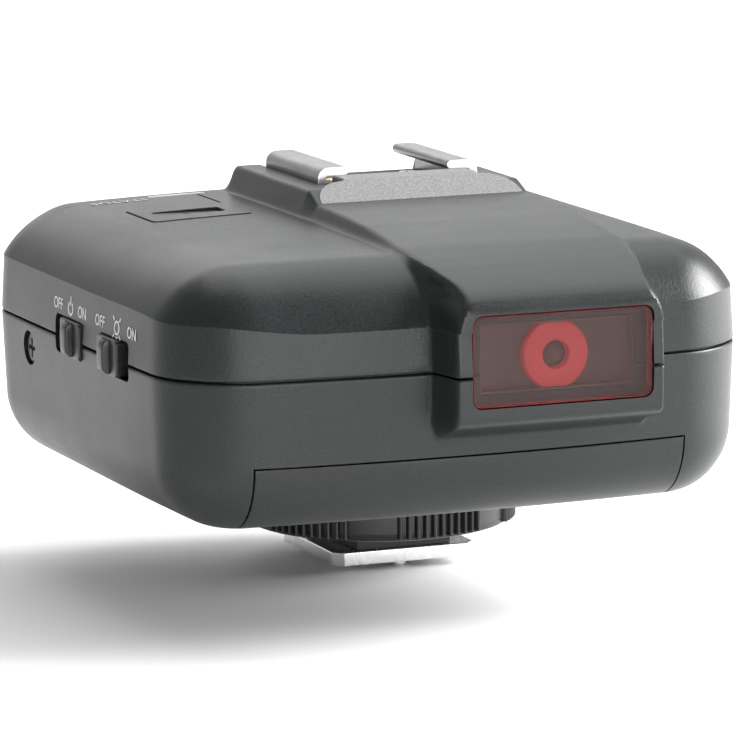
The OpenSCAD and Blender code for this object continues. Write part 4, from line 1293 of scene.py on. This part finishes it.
class TRIGGER_OT_foot(bpy.types.Operator):
    """Build the hot-shoe foot: plate, insulator, pins and lock wheel"""

    bl_idname = "trigger.foot"
    bl_label = "Foot and Lock Wheel"

    def execute(self, context):
        x, y, c = 9.3, 9.2, 1.2
        line = [(x, -y + c), (x, y - c), (x - c, y), (-x + c, y), (-x, y - c), (-x, -y + c), (-x + c, -y), (x - c, -y)]
        o = finish_bm("foot_plate_metal", prism(line, 0, 1.7, bevel=0.16), "foot")
        holes = [prism(rounded(-5.6, 5.6, -4.6, 4.6, 0.4), -1, 3), prism(circle(*LOCK_PIN, 1.1, 32), -1, 3)]
        holes += [prism(circle(px, py, 1.45, 32), -1, 0.6) for px, py in FOOT_SCREWS]
        cut(o, *holes)
        smooth(o, 30)
        place(o, "case", "foot_plate", slot="foot")
        points = [(px, py, 0.36) for px, py in FOOT_SCREWS]
        screws("foot_screw_heads", points, 1.38, 0.45, -1, "bright_screw", "foot_screws")
        prof = [
            (0, -0.8), (0.3, -0.77), (0.55, -0.62), (0.7, -0.35), (0.7, 3.3), (1.05, 3.35), (1.05, 4.3), (0.7, 4.3),
            (0.7, 6.2), (0, 6.2),
        ]
        pins = [lathe(prof, centre, "Z", 24) for centre in FOOT_PINS]
        pins.append(prism(circle(0, 0, 4.85, 48), 6.2, 7.0, bevel=0.12))
        add("foot_contact_pins", merge(*pins), "gold", "foot_pins", body="contact_pins", slot="contact", angle=35)
        prof = [
            (0, -1.0), (0.45, -0.98), (0.62, -0.9), (0.95, -0.65), (1.0, -0.5), (1.0, 12.4), (0.85, 12.6), (0, 12.6),
        ]
        add("lock_pin_rod", lathe(prof, LOCK_PIN, "Z", 32), "foot", "lock_pin", body="pin", slot="foot", angle=35)
        prof = [
            (8.27, 3.9), (15.6, 3.9), (16.05, 4.05), (16.3, 4.4), (16.35, 5.0), (16.35, 9.5), (16.3, 10.1),
            (16.05, 10.45), (15.6, 10.6), (14.1, 10.6), (14.0, 8.3), (10.5, 8.3), (10.4, 10.6), (8.27, 10.6),
            (8.27, 3.9),
        ]
        n = shape().rib_count
        groups, group_span, mid_group = 6, 41.0, -144
        step = group_span / n
        first = mid_group - group_span / 2 + step / 2
        base = lathe(prof, (0, 0), "Z", 120)
        centre, length, rib = (0, 0, 7.25), 10.15 - 4.35, (0.62, 0.7)
        o = ribs_round("lock_wheel_rim", base, "wheel", centre, "Z", 16.3, length, rib, n, groups, step, first, 60.0)
        smooth(o, 32)
        place(o, "wheel", "lock_wheel", slot="wheel")
        return {"FINISHED"}


class TRIGGER_OT_sockets(bpy.types.Operator):
    """Build the sync and charging sockets on the right wall"""

    bl_idname = "trigger.sockets"
    bl_label = "Sockets"

    def execute(self, context):
        x = XR - 0.12
        prof = [
            (1.3, 17.25), (1.3, x - 0.25), (1.55, x), (2.25, x), (2.45, x - 0.2), (2.5, x - 0.5), (2.5, 25.4),
            (3.0, 25.3), (3.0, 16.0), (0, 16.0), (0, 17.25), (1.3, 17.25),
        ]
        add("sync_socket_body", lathe(prof, JACK, "X", 48), "inner", "sync_socket", slot="component", angle=35)
        o = finish_bm("usb_socket_shell", prism(grown(USB, 0, 0.7), 20.75, x - 0.25, "X", 0.12), "tin")
        cut(o, prism(rounded(-15.6, -8.4, 21.7, 24.3, 0.5), 22.25, XR + 1, "X"))
        smooth(o, 35)
        place(o, "case", "usb_socket", slot="tin")
        add("usb_socket_tongue", bar(22.0, x - 0.9, -14.6, -9.4, 22.75, 23.25, 0.1), "inner", slot="tin")
        return {"FINISHED"}


class TRIGGER_OT_small_parts(bpy.types.Operator):
    """Build the case screws and the marks on the top"""

    bl_idname = "trigger.small_parts"
    bl_label = "Screws and Marks"

    def execute(self, context):
        screws("case_screw_heads", [(px, py, Z_BOTTOM + 2.2) for px, py in POSTS], 1.95, 0.5, -1, "screw")
        screws("side_screw_head", [(XL + 0.72, *SIDE_SCREW)], 1.9, 0.55, "X", "screw")
        turn = frame_of((-1, 0, 0), (0, -1, 0), (-29.3, 10.9, 0))
        o = words("mark_status", "STATUS", 2.0, "status_ink", turn, width=1.02)
        for v in o.data.vertices:
            x, y, d = v.co.x / MM, v.co.y / MM, v.co.z / MM
            v.co.z = (top_z(x, y) + 0.055 + d) * MM
        place(o, "case", slot="body")
        return {"FINISHED"}


class TRIGGER_OT_stage(bpy.types.Operator):
    """Lay the floor, set the lights and the camera"""

    bl_idname = "trigger.stage"
    bl_label = "Stage"

    def execute(self, context):
        sc = context.scene
        sc.view_settings.view_transform = "Standard"
        sc.view_settings.look = "None"
        pts = []
        for i in range(17):
            a = math.radians(90 * i / 16)
            pts.append((1.2 + 0.6 * math.sin(a), 0.6 - 0.6 * math.cos(a)))
        path = [(-2.5, 0.0)] + pts + [(1.8, 3.0)]  # floor, curve and backdrop, Y and Z in metres
        bm = bmesh.new()
        rows = [[bm.verts.new((x, y, z - 0.001)) for y, z in path] for x in (-3.5, 3.5)]
        for i in range(len(path) - 1):
            bm.faces.new((rows[0][i], rows[1][i], rows[1][i + 1], rows[0][i + 1]))
        me = bpy.data.meshes.new("floor")
        bm.to_mesh(me)
        bm.free()
        s = Shader("floor_paper")
        n = s.noise(3.0, 2.0, 0.5)
        mat = s.surface(Base_Color=s.mix(n, (0.93, 0.93, 0.93), (0.95, 0.95, 0.95)), Roughness=0.9)
        new_object("floor", me, mat)
        w = bpy.data.worlds.get("studio") or bpy.data.worlds.new("studio")
        sc.world = w
        w.use_nodes = True
        w.node_tree.nodes["Background"].inputs[0].default_value = (1, 1, 1, 1)
        w.node_tree.nodes["Background"].inputs[1].default_value = 0.33

        def lamp(name, where, look, width, height, power):
            d = bpy.data.lights.new(name, "AREA")
            d.energy = power
            d.shape = "RECTANGLE"
            d.size, d.size_y = width, height
            o = bpy.data.objects.new(name, d)
            context.collection.objects.link(o)
            o.location = where
            o.rotation_euler = (Vector(look) - Vector(where)).to_track_quat("-Z", "Y").to_euler()

        lamp("back_soft", (0.4, 1.25, 0.62), (0.0, 0.05, 0.02), 1.3, 0.8, 2.6)
        lamp("top_soft", (0.2, 0.35, 1.0), (0.03, 0.03, 0.04), 1.0, 1.0, 6.9)
        lamp("right_strip", (0.68, -0.15, 0.33), (0.01, -0.02, 0.035), 0.5, 0.5, 20.5)
        lamp("front_low", (-0.15, -1.7, 0.1), (0, -0.02, 0.03), 1.8, 0.12, 13.0)
        cam = bpy.data.cameras.new("camera")
        cam.sensor_width = 36.0
        cam.lens = 5471.4 / 736 * 36
        cam.clip_start, cam.clip_end = 0.05, 20
        o = bpy.data.objects.new("camera", cam)
        context.collection.objects.link(o)
        yaw, pitch, roll = (math.radians(v) for v in (21.905, 9.622, -0.424))
        fwd = Vector((math.sin(yaw) * math.cos(pitch), math.cos(yaw) * math.cos(pitch), -math.sin(pitch)))
        right = Vector((math.cos(yaw), -math.sin(yaw), 0))
        up = right.cross(fwd)
        cr, sr = math.cos(roll), math.sin(roll)
        r2, u2 = right * cr + up * sr, up * cr - right * sr
        m = Matrix.Identity(4)
        for i in range(3):
            m[i][0], m[i][1], m[i][2] = r2[i], u2[i], -fwd[i]
        m.translation = Vector((-0.24788, -0.61361, 0.13468))
        o.matrix_world = m
        sc.camera = o
        return {"FINISHED"}


class TRIGGER_PT_panel(bpy.types.Panel):
    """Lists the steps that build the trigger"""

    bl_idname = "TRIGGER_PT_panel"
    bl_label = "Flash Trigger"
    bl_space_type = "VIEW_3D"
    bl_region_type = "UI"
    bl_category = "Flash Trigger"

    def draw(self, context):
        for group in (context.scene.trigger_shape, context.scene.trigger_finish):
            for name in group.__annotations__:
                self.layout.prop(group, name)
        for op in STEPS:
            self.layout.operator(op.bl_idname)


STEPS = [
    TRIGGER_OT_stage, TRIGGER_OT_case, TRIGGER_OT_door, TRIGGER_OT_test_key, TRIGGER_OT_lamp, TRIGGER_OT_shoe,
    TRIGGER_OT_switches, TRIGGER_OT_rear, TRIGGER_OT_foot, TRIGGER_OT_sockets, TRIGGER_OT_small_parts,
]
CLASSES = [TriggerShape, TriggerFinish, *STEPS, TRIGGER_PT_panel]


def register():
    for c in CLASSES:
        bpy.utils.register_class(c)
    bpy.types.Scene.trigger_shape = bpy.props.PointerProperty(type=TriggerShape)
    bpy.types.Scene.trigger_finish = bpy.props.PointerProperty(type=TriggerFinish)


def unregister():
    del bpy.types.Scene.trigger_finish
    del bpy.types.Scene.trigger_shape
    for c in reversed(CLASSES):
        bpy.utils.unregister_class(c)


# Finish of each material slot whose name isn't the finish's own
SLOT_MATS = {
    "body": "case", "lamp_glass": "lamp", "lamp_red": "red", "light_pipe": "pipe", "display_glass": "lcd_glass",
    "display": "lcd", "contact": "gold", "insulator": "inner", "component": "inner",
}


def dress_nodes():
    """Gives every carried-over node its finish"""
    slots = {r["node"]: r["material_slot"] for r in frame["record"]["subparts"]}
    for name, o in frame["nodes"].items():
        mat = MATS[SLOT_MATS.get(slots[name], slots[name])]
        if not o.material_slots:
            o.data.materials.append(mat)
        for m in o.material_slots:
            m.material = mat


def main():
    register()
    make_materials()
    dress_nodes()
    for op in STEPS:
        group, name = op.bl_idname.split(".")
        getattr(getattr(bpy.ops, group), name)()


if __name__ == "__main__":
    main()
